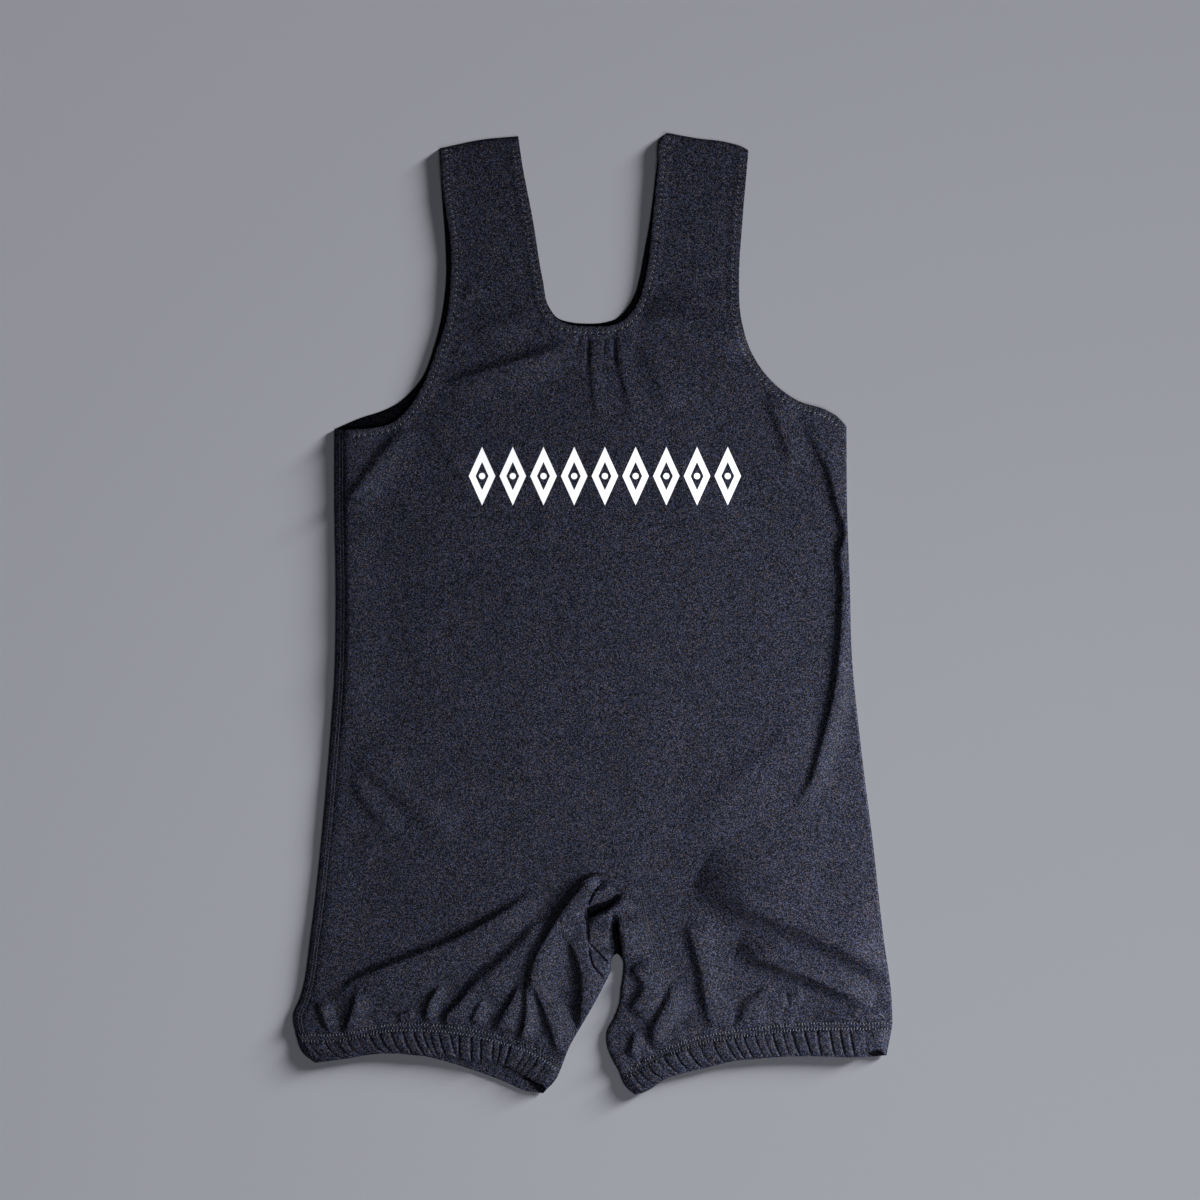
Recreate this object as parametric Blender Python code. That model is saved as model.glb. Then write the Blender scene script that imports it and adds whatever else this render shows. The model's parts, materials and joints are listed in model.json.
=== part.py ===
"""Athletic singlet laid flat, face up, in metres with +Z up and the straps towards +Y.

Each piece of cloth is drawn in plan, in millimetres, cut into triangles, and laid: every plan point gets
an outer and an inner point, one wall apart, on the top layer or on the layer underneath. Where the
garment's tube rolls over at a side, the two layers share the points of the roll.
"""

from collections import namedtuple

import bpy
import numpy as np
from mathutils.geometry import delaunay_2d_cdt

MM = 0.001

# Thickness of the cloth and the gaps between pieces
CLOTH = 1.1
BAND_CLOTH = 1.4
SEAM_GAP = 0.3
FLAT_TOP = 3.0
BAND_TOP = 3.3
LOWEST_INSIDE = CLOTH + SEAM_GAP + 0.05
DEEPEST_TROUGH = 0.4

# How the cloth rolls over at a side, and comes down at a drop edge
ROLL_REACH = 7.0
DROP_REACH = 2.0
DROP_INSET = 2.9
STRAP_INSET = 3.5
RING_SHARES = (0.15, 0.5, 1.0)
WRAP_WIDTH = 7.0

# Turned hems of the neck and armholes
HEM_WIDTH = 7.0
HEM_STEP = 1.0
HEM_RISE = 0.5

# Gathers of the leg bands: their spacing drifts and their depth swells along the band, in turns of a wave
GATHERS = 24
POINTS_PER_GATHER = 4
GATHER_RISE = 1.3
GATHER_SWELL = 0.25
GATHER_SWELL_TURNS = 5.1
GATHER_LEAN = 0.55
GATHER_DRIFTS = ((0.35, 3.4), (0.21, 7.3))
GATHER_FADE = 9.0
BAND_ROWS = (0.0, 0.2, 0.6, 1.0)
UNDER_COLUMN = 14.0
END_CLEAR = 1.2

# Shares of a fold's widths: where its steep side has died away, and where its far row of points runs
STEEP_SHARE = 0.75
FAR_SHARE = 0.8
STEEPEST = 1.2

# Spacing of the mesh
EDGE_STEP = 11.0
FOLD_STEP = 8.0
FOLD_APART = 3.4
FINEST = 7.0
COARSEST = 26.0
UNDER_SPACING = 48.0
CHORD_ERROR = 0.25
PROBE = 2.5
CROWDING = 0.85
RING_CLEAR = 0.2
BEND_SLACK = 0.93
FIRST_STEP_SHARE = 0.9
WELD = 1e-3
SHARP_ANGLE = 0.9
CDT_NEAR = 1e-6

CLOTH_ROUGHNESS = 0.8
CLOTH_COLOUR = (0.017, 0.018, 0.028, 1.0)
BAND_COLOUR = (0.014, 0.015, 0.024, 1.0)

# Outlines as knots of smooth curves, each run with its cloth on the left
EDGES = {
    "left_armhole": (
        (-114.5, 349), (-113, 322), (-106.5, 270.5), (-107, 247), (-109.5, 222.5), (-118, 196),
        (-129, 168.5), (-141.5, 150.5), (-152, 142.5), (-167, 139), (-186, 137.5)),
    "left_side": (
        (-193.5, 138.5), (-193.5, 80.5), (-192.5, 10), (-193.5, -47), (-197, -97), (-204, -177.5),
        (-211, -239), (-219, -287.5), (-224.5, -302), (-222.5, -315.5)),
    "left_inner_leg": ((-23, -338.5), (-17, -323.5), (-11, -313)),
    "gusset_left_seam": ((-11, -313), (-17, -299.5), (-23, -290), (-34.5, -280), (-48, -275)),
    "gusset_fold_seam": (
        (-48, -275), (-48, -255.5), (-41, -242), (-30, -224), (-17, -206.5), (-4.5, -196), (4, -194)),
    "gusset_top_seam": ((4, -194), (17.5, -197.5), (25.5, -200), (32.5, -205)),
    "gusset_right_seam": (
        (32.5, -205), (35.5, -217), (39, -234.5), (44.5, -251.5), (49.5, -266.5), (56.5, -281)),
    "gusset_cross_seam": ((56.5, -281), (40.5, -281), (21, -280)),
    "notch": (
        (-11, -313), (-0.5, -295), (7.5, -280), (13.5, -266.5), (14, -260), (18, -255), (22, -259.5),
        (22.5, -269.5), (21, -280)),
    "right_inseam": ((56.5, -281), (59.5, -298), (64, -318.5), (65.5, -322)),
    "right_inner_leg": (
        (21, -280), (20, -291.5), (16, -303), (10.5, -314), (10.5, -323), (14, -333), (19.5, -343)),
    "right_side": (
        (224.5, -306.5), (224, -291), (217.5, -241), (210.5, -177.5), (200.5, -97), (194, -31),
        (192.5, 22), (190.5, 75.5), (190, 140)),
    "right_armhole": (
        (190, 140), (183, 147.5), (175.5, 152), (152.5, 160), (133, 175), (119.5, 194), (111, 221),
        (109.5, 251), (112, 293.5), (115.5, 335.5), (116.5, 347.5)),
    "right_strap_top": ((116.5, 347.5), (112, 350), (100, 353.5), (77.5, 356.5), (55.5, 360.5)),
    "neck": (
        (55.5, 360.5), (50.5, 354.5), (48.5, 335.5), (44, 289.5), (38, 251), (25.5, 227.5), (8.5, 217.5),
        (-18.5, 218.5), (-32, 228.5), (-37.5, 249.5), (-45, 295), (-53, 337), (-56, 358)),
    "left_strap_top": ((-56, 358), (-83, 355.5), (-114.5, 349)),
    "back_left_armhole": (
        (-114, 344.5), (-113.5, 322), (-110.5, 278), (-110, 251), (-112.5, 227.5), (-119, 200),
        (-129, 175), (-144.5, 159), (-158, 152), (-173.5, 147), (-193.5, 138.5)),
    "back_neck": (
        (50, 350), (48, 335.5), (42, 289.5), (35.5, 251), (23.5, 227.5), (8.5, 217.5), (-18.5, 218.5),
        (-32, 228.5), (-37.5, 249.5), (-45, 295), (-53, 337), (-55.5, 353.5)),
    "left_band_seam": (
        (-222.5, -315.5), (-215.5, -315.5), (-192.5, -315.5), (-169.5, -311), (-153.5, -308),
        (-134, -307.5), (-112.5, -308.5), (-91.5, -311.5), (-72, -316), (-56, -320.5), (-39.5, -327.5),
        (-23, -338.5)),
    "left_band_left_end": ((-222.5, -315.5), (-217.5, -329), (-208.5, -336.5)),
    "left_band_hem": (
        (-208.5, -336.5), (-183, -333), (-165, -330), (-147, -329.5), (-130.5, -331), (-111, -332.5),
        (-85, -336.5), (-62, -340), (-48, -348.5), (-37.5, -359.5)),
    "left_band_back_hem": (
        (-208.5, -336.5), (-183, -333), (-165, -330), (-147, -329.5), (-130.5, -331), (-111, -335.5),
        (-91.5, -341.5), (-63.5, -352), (-51, -357.5), (-37.5, -359.5)),
    "left_band_right_end": ((-23, -338.5), (-27.5, -348.5), (-37.5, -359.5)),
    "right_band_seam": (
        (19.5, -343), (25.5, -341.5), (40.5, -333.5), (56.5, -325), (65.5, -322), (85.5, -316),
        (106, -312.5), (130.5, -309.5), (156, -307), (182, -306.5), (199, -306.5), (217.5, -306.5),
        (224.5, -306.5)),
    "right_band_left_end": ((19.5, -343), (24.5, -354.5), (31.5, -360.5)),
    "right_band_hem": (
        (31.5, -360.5), (40.5, -357.5), (52.5, -349.5), (70, -343.5), (85.5, -340), (103, -335.5),
        (121.5, -333.5), (140.5, -332), (161.5, -331.5), (182, -332), (204, -332.5), (220, -331)),
    "right_band_right_end": ((224.5, -306.5), (223.5, -313), (220, -331)),
}
LEFT_WRAP_HEAD = (-186, 137.5)
LEFT_WRAP_FOOT = (-215.5, -315.5)
RIGHT_WRAP_HEAD = (183, 147.5)
RIGHT_WRAP_FOOT = (217.5, -306.5)
INSEAM_FOOT = (65.5, -322)

# A fold rises on the left of its path, over the steep width, and dies away over the soft one
Fold = namedtuple("Fold", "rise steep soft path")
FOLDS = {
    "left_leg_long": Fold(5.0, 6, 16, (
        (-43.5, -203.5), (-64.5, -217), (-106.5, -240.5), (-150.5, -258), (-182, -272), (-198.5, -287.5))),
    "left_leg_branch": Fold(4.0, 5, 9, ((-179.5, -280), (-183.5, -296), (-191, -319))),
    "left_leg_corner": Fold(3.0, 4, 7, ((-209, -290.5), (-204.5, -302), (-198.5, -318))),
    "left_leg_middle": Fold(5.0, 6, 12, (
        (-42, -221), (-56, -238.5), (-81.5, -265), (-93.5, -277), (-116, -310))),
    "left_leg_short": Fold(3.0, 4, 6, ((-116, -276), (-126, -290.5), (-130, -310))),
    "left_leg_inner": Fold(4.0, 5, 8, ((-56, -272), (-68, -294.5), (-79, -318))),
    "crotch_deep": Fold(8.0, 7, 13, (
        (5.5, -193), (-4.5, -195.5), (-17, -206.5), (-30, -224), (-41, -242), (-48.5, -257),
        (-51.5, -281), (-51, -323))),
    "crotch_spur": Fold(4.5, 5, 8, ((-47, -279.5), (-39, -299.5), (-30, -332))),
    "gusset_long": Fold(5.5, 6, 11, (
        (-27, -238), (-18.5, -255.5), (-13.5, -275), (-15, -297.5), (-18, -322))),
    "crotch_slot": Fold(4.0, 3, 7, ((-3.5, -246.5), (-5, -230), (-3.5, -212.5), (4, -200))),
    "crotch_pocket": Fold(-5.0, 5, 5, ((-4, -228), (8.5, -220), (19, -212.5))),
    "notch_wedge": Fold(4.0, 4, 11, ((16, -228.5), (18, -241), (21, -262))),
    "right_leg_wide": Fold(4.0, 9, 14, (
        (73, -205), (97.5, -218), (124, -227), (150, -237.5), (176.5, -250), (214.5, -274))),
    "right_leg_second": Fold(3.5, 7, 11, (
        (114, -257.5), (148, -270.5), (173.5, -279), (202, -292), (218, -308))),
    "right_leg_steep": Fold(3.5, 5, 12, (
        (67, -233), (73, -251.5), (78, -272), (80.5, -290), (87, -322))),
    "right_leg_curl": Fold(3.0, 5, 9, ((129, -275.5), (115, -287), (109, -299.5), (107, -318))),
    "right_leg_crease": Fold(4.0, 6, 10, (
        (56.5, -275), (52, -288.5), (45, -300.5), (40.5, -312.5), (44.5, -332))),
    "right_leg_dent": Fold(2.5, 4, 6, ((28.5, -312), (23.5, -334))),
    "waist_left_long": Fold(3.0, 9, 16, ((-185, -105.5), (-165.5, -131), (-144.5, -149), (-108.5, -171.5))),
    "waist_left_short": Fold(3.5, 6, 12, ((-185, -119), (-177.5, -140), (-165.5, -156.5), (-147.5, -167))),
    "right_main": Fold(4.0, 4, 9, (
        (152.5, 147), (167, 120.5), (177.5, 77.5), (180.5, 10), (179, -35), (168.5, -98), (144, -143.5))),
    "chest_left": Fold(3.0, 7, 14, ((-19.5, 209), (-39.5, 200.5), (-69, 191.5), (-112.5, 177.5))),
    "chest_right": Fold(3.0, 9, 12, ((35.5, 216.5), (70.5, 208), (111, 188.5))),
    "neck_gather_left": Fold(2.5, 4, 7, ((-1.5, 213), (-3, 185), (-1.5, 158))),
    "neck_gather_right": Fold(2.5, 4, 7, ((16, 213), (17.5, 182), (20.5, 158))),
    "underarm_left": Fold(2.5, 8, 14, ((-153, 132.5), (-170, 109), (-184, 86))),
    "underarm_right": Fold(2.5, 6, 12, ((125.5, 161.5), (136, 136), (145.5, 109))),
    "strap_right_crease": Fold(1.5, 4, 8, ((67.5, 228), (85, 229), (102, 229.5))),
    "waist_right": Fold(1.5, 14, 20, ((152.5, -68), (110.5, -107), (74.5, -140), (56.5, -155))),
}

# What an edge does: it meets its neighbour, rolls over, comes down to rest, is hemmed, or is plain
SEAM, ROLL, DROP, HEM, PLAIN = "seam", "roll", "drop", "hem", "plain"
REACHES = {ROLL: ROLL_REACH, DROP: DROP_REACH}
Edge = namedtuple("Edge", "kind line")
Sheet = namedtuple("Sheet", "outer inner faces")


def curve(knots, step):
    """Points about one step apart on a smooth curve through the knots."""
    knots = np.array(knots, float)
    along = np.concatenate([[0.0], np.cumsum(np.linalg.norm(np.diff(knots, axis=0), axis=1))])
    slopes = np.gradient(knots, along, axis=0)
    points = [knots[:1]]
    for i, span in enumerate(np.diff(along)):
        t = np.linspace(0, 1, max(1, round(span / step)) + 1)[1:, None]
        points.append(
            (2 * t**3 - 3 * t**2 + 1) * knots[i]
            + (t**3 - 2 * t**2 + t) * span * slopes[i]
            + (3 * t**2 - 2 * t**3) * knots[i + 1]
            + (t**3 - t**2) * span * slopes[i + 1]
        )
    return np.concatenate(points)


def edge_line(name):
    """The named edge as a line of points."""
    return curve(EDGES[name], EDGE_STEP)


def left_normals(line):
    """Unit normals to the left of a line at each of its points."""
    ways = np.gradient(line, axis=0)
    ways /= np.linalg.norm(ways, axis=1, keepdims=True)
    return np.stack([-ways[:, 1], ways[:, 0]], axis=1)


def moved_in(line, distance):
    """A line run beside another, without the points that a bend brings closer than the distance."""
    beside = line + distance * left_normals(line)
    return beside[nearest_on(beside, line)[0] > BEND_SLACK * distance]


def between(line, start, end):
    """The stretch of a line from the point nearest one place to the point nearest another."""
    first, last = (int(np.linalg.norm(line - place, axis=1).argmin()) for place in (start, end))
    return line[first : last + 1]


def nearest_on(points, line):
    """For each point: its distance from the line, the left normal there, and how far along it that is."""
    normals = left_normals(line)
    lengths = np.linalg.norm(np.diff(line, axis=0), axis=1)
    starts = np.concatenate([[0.0], np.cumsum(lengths)])
    distance = np.full(len(points), np.inf)
    normal = np.zeros((len(points), 2))
    travelled = np.zeros(len(points))
    for i, length in enumerate(lengths):
        way = (line[i + 1] - line[i]) / length
        run = np.clip((points - line[i]) @ way, 0, length)
        apart = np.linalg.norm(points - line[i] - run[:, None] * way, axis=1)
        near = apart < distance
        share = (run / length)[:, None]
        distance[near] = apart[near]
        normal[near] = ((1 - share) * normals[i] + share * normals[i + 1])[near]
        travelled[near] = (starts[i] + run)[near]
    normal /= np.maximum(np.linalg.norm(normal, axis=1, keepdims=True), CDT_NEAR)
    return distance, normal, travelled / starts[-1]


def fold_height(points, fold):
    """Height that one fold adds: a steep side next to its path, a soft one beyond, and both ends fading."""
    line = curve(fold.path, FOLD_STEP)
    distance, normal, share = nearest_on(points, line)
    starts = np.array([line[int(s)] for s in share * (len(line) - 1)])
    side = np.sign(((points - starts) * normal).sum(axis=1))
    across = side * distance
    if fold.rise > 0:
        across = across - fold.steep
    width = np.where(across < 0, STEEP_SHARE * fold.steep, fold.soft)
    return fold.rise * np.exp(-((across / width) ** 2)) * (1 - (2 * share - 1) ** 4)


def relief(points):
    """Height of all the folds together: ridges that overlap don't pile up, and troughs cut into them."""
    heights = np.array([fold_height(points, fold) for fold in FOLDS.values()])
    ridges = np.sqrt((np.maximum(heights, 0) ** 2).sum(axis=0))
    return np.maximum(ridges + np.minimum(heights, 0).sum(axis=0), -DEEPEST_TROUGH)


def steepness(points):
    """Length of the slope of the relief at each point."""
    slopes = [
        (relief(points + step) - relief(points - step)) / (2 * PROBE)
        for step in (np.array([PROBE, 0]), np.array([0, PROBE]))
    ]
    return np.hypot(*slopes)


def point_spacing(points):
    """How far apart mesh points may lie: close where the relief bends, so that flat faces follow it."""
    height = relief(points)
    bends = []
    for step in (np.array([PROBE, 0]), np.array([0, PROBE]), np.array([PROBE, PROBE]) / np.sqrt(2)):
        bends.append(np.abs(relief(points + step) + relief(points - step) - 2 * height) / PROBE**2)
    return np.clip(np.sqrt(8 * CHORD_ERROR / (np.max(bends, axis=0) + 1e-9)), FINEST, COARSEST)


def under_spacing(points):
    """The flat layer underneath needs few points."""
    return np.full(len(points), UNDER_SPACING)


def inside(points, loop):
    """Which points lie inside the loop."""
    found = np.zeros(len(points), bool)
    for a, b in zip(loop, np.roll(loop, -1, axis=0)):
        if a[1] != b[1]:
            crossing = a[0] + (points[:, 1] - a[1]) * (b[0] - a[0]) / (b[1] - a[1])
            found ^= ((a[1] > points[:, 1]) != (b[1] > points[:, 1])) & (points[:, 0] < crossing)
    return found


def far_from(points, others, least):
    """Which points lie at least so far from all the others."""
    return np.array([((others - p) ** 2).sum(axis=1).min() > least**2 for p in points], bool)


def split_near_end(line, reach):
    """A line with extra points near its start, where the cloth beside it rolls over or comes down."""
    along = np.concatenate([[0.0], np.cumsum(np.linalg.norm(np.diff(line, axis=0), axis=1))])
    wanted = [share * reach for share in RING_SHARES if share * reach < FIRST_STEP_SHARE * along[1]]
    if not wanted:
        return line
    added = np.stack([np.interp(wanted, along, line[:, axis]) for axis in (0, 1)], axis=1)
    return np.concatenate([line[:1], added, line[1:]])


def split_near_rolls(edges):
    """The edges, with extra points on those that start or end at a roll or a drop."""
    lines = [edge.line for edge in edges]
    for i, edge in enumerate(edges):
        before, after = edges[i - 1], edges[(i + 1) % len(edges)]
        if edge.kind not in REACHES and before.kind in REACHES:
            lines[i] = split_near_end(lines[i], REACHES[before.kind])
        if edge.kind not in REACHES and after.kind in REACHES:
            lines[i] = split_near_end(lines[i][::-1], REACHES[after.kind])[::-1]
    return [Edge(edge.kind, line) for edge, line in zip(edges, lines)]


def loop_of(edges):
    """The loop's points, and the move that opens half a seam's gap at each point of its seams."""
    points, moves = [], []
    for edge, following in zip(edges, edges[1:] + edges[:1]):
        move = left_normals(edge.line) * (SEAM_GAP / 2 if edge.kind == SEAM else 0)
        meets = np.allclose(edge.line[-1], following.line[0], atol=1e-6)
        points.append(edge.line[:-1] if meets else edge.line)
        moves.append(move[:-1] if meets else move)
    for i, (edge, following) in enumerate(zip(edges, edges[1:] + edges[:1])):
        if edge.kind == SEAM and np.allclose(edge.line[-1], following.line[0], atol=1e-6):
            moves[(i + 1) % len(edges)][0] += left_normals(edge.line)[-1] * SEAM_GAP / 2
    return np.concatenate(points), np.concatenate(moves)


def ring_points(edges, loop):
    """Rows of points along the rolled, dropping and hemmed edges, where the section bends."""
    rings = []
    for edge in edges:
        insets = [share * REACHES[edge.kind] for share in RING_SHARES] if edge.kind in REACHES else []
        if edge.kind == HEM:
            insets = [HEM_WIDTH, HEM_WIDTH + HEM_STEP]
        for inset in insets:
            row = moved_in(edge.line, inset)
            rings.append(row[inside(row, loop)])
    return np.concatenate(rings) if rings else np.zeros((0, 2))


def fold_rows(loop, fixed):
    """Rows of points along the foot, crest and far side of each fold, so that faces run with it."""
    kept = fixed
    for fold in FOLDS.values():
        line = curve(fold.path, FOLD_STEP)
        for across in (0, max(fold.steep, 0), fold.steep + FAR_SHARE * fold.soft):
            row = moved_in(line, across) if across else line
            for point in row[inside(row, loop)]:
                if far_from([point], kept, FOLD_APART)[0]:
                    kept = np.concatenate([kept, [point]])
    return kept[len(fixed):]


def spread(loop, fixed, spacing):
    """Points inside the loop, none closer to another than the spacing asks at its place."""
    low, high = loop.min(axis=0), loop.max(axis=0)
    row_step = FINEST * np.sqrt(0.75)
    rows = np.arange(low[1], high[1], row_step)
    trial = np.concatenate([
        [[x, y] for x in np.arange(low[0] + (i % 2) * FINEST / 2, high[0], FINEST)]
        for i, y in enumerate(rows)
    ])
    trial = trial[inside(trial, loop)]
    size = spacing(trial)
    kept = np.concatenate([fixed, np.zeros((len(trial), 2))])
    count = len(fixed)
    for i in np.argsort(size, kind="stable"):
        if ((kept[:count] - trial[i]) ** 2).sum(axis=1).min() > (CROWDING * size[i]) ** 2:
            kept[count] = trial[i]
            count += 1
    return kept[len(fixed) : count]


def triangulated(loop, extra):
    """Triangles that fill the loop and use the extra points, as indices into both lists together."""
    points = np.concatenate([loop, extra])
    found = delaunay_2d_cdt(points.tolist(), [], [list(range(len(loop)))], 1, CDT_NEAR)
    source = [origin[0] for origin in found[3]]
    return points, np.array([[source[i] for i in face] for face in found[2]])


def rounding(share):
    """Height of a quarter round, from 0 at its edge to 1 where it ends."""
    return np.sqrt(1 - (1 - share) ** 2)


def edge_sections(points, edges):
    """For each point: how far in from a roll or drop it is, as a share, the way in, and if it rolls."""
    share = np.ones(len(points))
    way_in = np.zeros((len(points), 2))
    rolls = np.zeros(len(points), bool)
    for edge in edges:
        if edge.kind in REACHES:
            distance, normal, _ = nearest_on(points, edge.line)
            near = distance / REACHES[edge.kind] < share
            share[near] = (distance / REACHES[edge.kind])[near]
            way_in[near] = normal[near]
            rolls[near] = edge.kind == ROLL
    return share, way_in, rolls


def hem_share(points, edges):
    """1 on a turned hem and 0 clear of it."""
    share = np.zeros(len(points))
    for edge in edges:
        if edge.kind == HEM:
            away = nearest_on(points, edge.line)[0]
            share = np.maximum(share, np.clip((HEM_WIDTH + HEM_STEP - away) / HEM_STEP, 0, 1))
    return share


def turned_in(share, way_in, moves, wall):
    """How far the inner side lies from the outer one in plan, and never across a seam."""
    offset = wall * (1 - share)[:, None] * way_in
    across = moves / np.maximum(np.linalg.norm(moves, axis=1, keepdims=True), CDT_NEAR)
    return offset - np.minimum((offset * across).sum(axis=1, keepdims=True), 0) * across


def lay_top(points, moves, edges, flat_top, wall, lift):
    """Outer and inner points of cloth on the top layer, whose outer side faces up."""
    share, way_in, rolls = edge_sections(points, edges)
    rise = rounding(share)
    middle = np.where(rolls, flat_top / 2, 0.0)
    hem = hem_share(points, edges)
    crown = flat_top + lift + HEM_RISE * hem
    thick = (wall + HEM_RISE * hem) * np.sqrt(1 + np.minimum(steepness(points), STEEPEST) ** 2)
    top = middle + (crown - middle) * rise
    bottom = top - thick * rise
    bottom = np.where(share < 1, bottom, np.maximum(bottom, LOWEST_INSIDE))
    outer = np.column_stack([points + moves, top])
    inner = np.column_stack([points + moves + turned_in(share, way_in, moves, wall), bottom])
    return outer, inner


def lay_under(points, moves, edges, flat_top, wall):
    """Outer and inner points of cloth on the layer underneath, whose outer side rests on the ground."""
    share, way_in, _ = edge_sections(points, edges)
    rise = rounding(share)
    bottom = flat_top / 2 * (1 - rise)
    outer = np.column_stack([points + moves, bottom])
    inner = np.column_stack([points + moves + turned_in(share, way_in, moves, wall), bottom + wall * rise])
    return outer, inner


def panel(edges, under=False):
    """A piece cut to a loop of edges, run with the cloth on their left."""
    edges = split_near_rolls(edges)
    loop, moves = loop_of(edges)
    rings = ring_points(edges, loop)
    rings = rings[far_from(rings, loop, RING_CLEAR)]
    rows = np.zeros((0, 2)) if under else fold_rows(loop, np.concatenate([loop, rings]))
    placed = np.concatenate([rings, rows])
    spacing = under_spacing if under else point_spacing
    scattered = spread(loop, np.concatenate([loop, placed]), spacing)
    points, faces = triangulated(loop, np.concatenate([placed, scattered]))
    moves = np.concatenate([moves, np.zeros((len(points) - len(moves), 2))])
    if under:
        outer, inner = lay_under(points, moves, edges, FLAT_TOP, CLOTH)
        return Sheet(outer, inner, faces[:, ::-1])
    outer, inner = lay_top(points, moves, edges, FLAT_TOP, CLOTH, relief(points))
    return Sheet(outer, inner, faces)


def at_shares(line, shares):
    """Points of a line at these shares of its length."""
    along = np.concatenate([[0.0], np.cumsum(np.linalg.norm(np.diff(line, axis=0), axis=1))])
    return np.stack([np.interp(shares * along[-1], along, line[:, axis]) for axis in (0, 1)], axis=1)


def band_grid(seam, left_end, hem, right_end, columns):
    """Plan points of a band, a row for each share of its width, between its four curved sides."""
    rows = np.array(BAND_ROWS)
    top, bottom = at_shares(seam, columns), at_shares(hem, columns)
    left, right = at_shares(left_end, rows), at_shares(right_end, rows)
    s, v = columns[None, :, None], rows[:, None, None]
    straight = (1 - v) * top[None] + v * bottom[None]
    left_bow = left[:, None] - ((1 - v) * left[0] + v * left[-1])
    right_bow = right[:, None] - ((1 - v) * right[0] + v * right[-1])
    return straight + (1 - s) * left_bow + s * right_bow


def gather_height(columns, length):
    """Height of the gathers over a band's grid: round crests between narrow creases, unevenly spaced."""
    s, v = columns[None, :], np.array(BAND_ROWS)[:, None]
    drift = sum(size * np.sin(2 * np.pi * turns * s) for size, turns in GATHER_DRIFTS)
    crest = np.abs(np.sin(np.pi * (GATHERS * s + drift - GATHER_LEAN * v)))
    swell = 1 - GATHER_SWELL * (1 + np.sin(2 * np.pi * GATHER_SWELL_TURNS * s))
    fade = np.clip(np.minimum(s, 1 - s) * length / GATHER_FADE, 0, 1)
    return (GATHER_RISE * swell * crest * fade).ravel()


def band_sheet(side, under):
    """One layer of a leg band: gathered on top, flat underneath."""
    parts = ("seam", "left_end", "right_end")
    seam, left_end, right_end = (edge_line(f"{side}_band_{part}") for part in parts)
    back_hem = f"{side}_band_back_hem"
    hem = edge_line(back_hem if under and back_hem in EDGES else f"{side}_band_hem")
    length = np.linalg.norm(np.diff(seam, axis=0), axis=1).sum()
    near_ends = np.array([0.0, *(share * ROLL_REACH / length for share in RING_SHARES)])
    step_count = round(length / UNDER_COLUMN) if under else GATHERS * POINTS_PER_GATHER
    middle = np.linspace(0, 1, step_count + 1)
    clear = END_CLEAR * near_ends[-1]
    middle = middle[(middle > clear) & (middle < 1 - clear)]
    columns = np.concatenate([near_ends, middle, 1 - near_ends[::-1]])
    grid = band_grid(seam, left_end, hem, right_end, columns)
    points = grid.reshape(-1, 2)
    moves = np.zeros_like(points)
    moves[: len(columns)] = -left_normals(grid[0]) * SEAM_GAP / 2
    moves[0], moves[len(columns) - 1] = (-left_normals(seam)[i] * SEAM_GAP / 2 for i in (0, -1))
    ends = [Edge(ROLL, left_end), Edge(ROLL, right_end[::-1])]
    index = np.arange(len(points)).reshape(len(BAND_ROWS), len(columns))
    a, b, c, d = index[:-1, :-1], index[1:, :-1], index[1:, 1:], index[:-1, 1:]
    halves = ((a, b, c), (a, c, d))
    faces = np.concatenate([np.stack(corners, axis=-1).reshape(-1, 3) for corners in halves])
    if under:
        outer, inner = lay_under(points, moves, ends, BAND_TOP, BAND_CLOTH)
        return Sheet(outer, inner, faces[:, ::-1])
    lift = relief(points) + gather_height(columns, length)
    outer, inner = lay_top(points, moves, ends, BAND_TOP, BAND_CLOTH, lift)
    return Sheet(outer, inner, faces)


def cloth_material(name, colour):
    """A matt cloth of one colour."""
    material = bpy.data.materials.new(name)
    material.use_nodes = True
    shader = material.node_tree.nodes["Principled BSDF"]
    shader.inputs["Base Color"].default_value = colour
    shader.inputs["Roughness"].default_value = CLOTH_ROUGHNESS
    material.diffuse_color = colour
    return material


def make_shell(name, sheets, material):
    """One closed wall from sheets that share points where they meet, with a rim round its open edges."""
    starts = np.cumsum([0] + [len(sheet.outer) for sheet in sheets])
    pairs = np.concatenate([np.hstack([sheet.outer, sheet.inner]) for sheet in sheets])
    faces = np.concatenate([sheet.faces + start for sheet, start in zip(sheets, starts)])
    _, first, index = np.unique(np.round(pairs / WELD), axis=0, return_index=True, return_inverse=True)
    pairs, faces = pairs[first], index.reshape(-1)[faces]
    count = len(pairs)
    ways = {(int(a), int(b)) for face in faces for a, b in zip(face, np.roll(face, -1))}
    rims = [(b, a, a + count, b + count) for a, b in sorted(ways) if (b, a) not in ways]
    walls = faces.tolist() + (faces[:, ::-1] + count).tolist() + rims
    points = np.concatenate([pairs[:, :3], pairs[:, 3:]]) * MM
    mesh = bpy.data.meshes.new(name)
    mesh.from_pydata(points.tolist(), [], walls)
    mesh.materials.append(material)
    mesh.shade_smooth()
    mesh.set_sharp_from_angle(angle=SHARP_ANGLE)
    obj = bpy.data.objects.new(name, mesh)
    bpy.context.scene.collection.objects.link(obj)
    return obj


def wrap_seam(side_name, head, foot):
    """The seam along a rolled side, one wrap's width in, from its head at the armhole to its foot."""
    line = moved_in(edge_line(side_name), WRAP_WIDTH)
    if side_name == "right_side":
        line = line[::-1]
    line[0], line[-1] = head, foot
    return line


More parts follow.
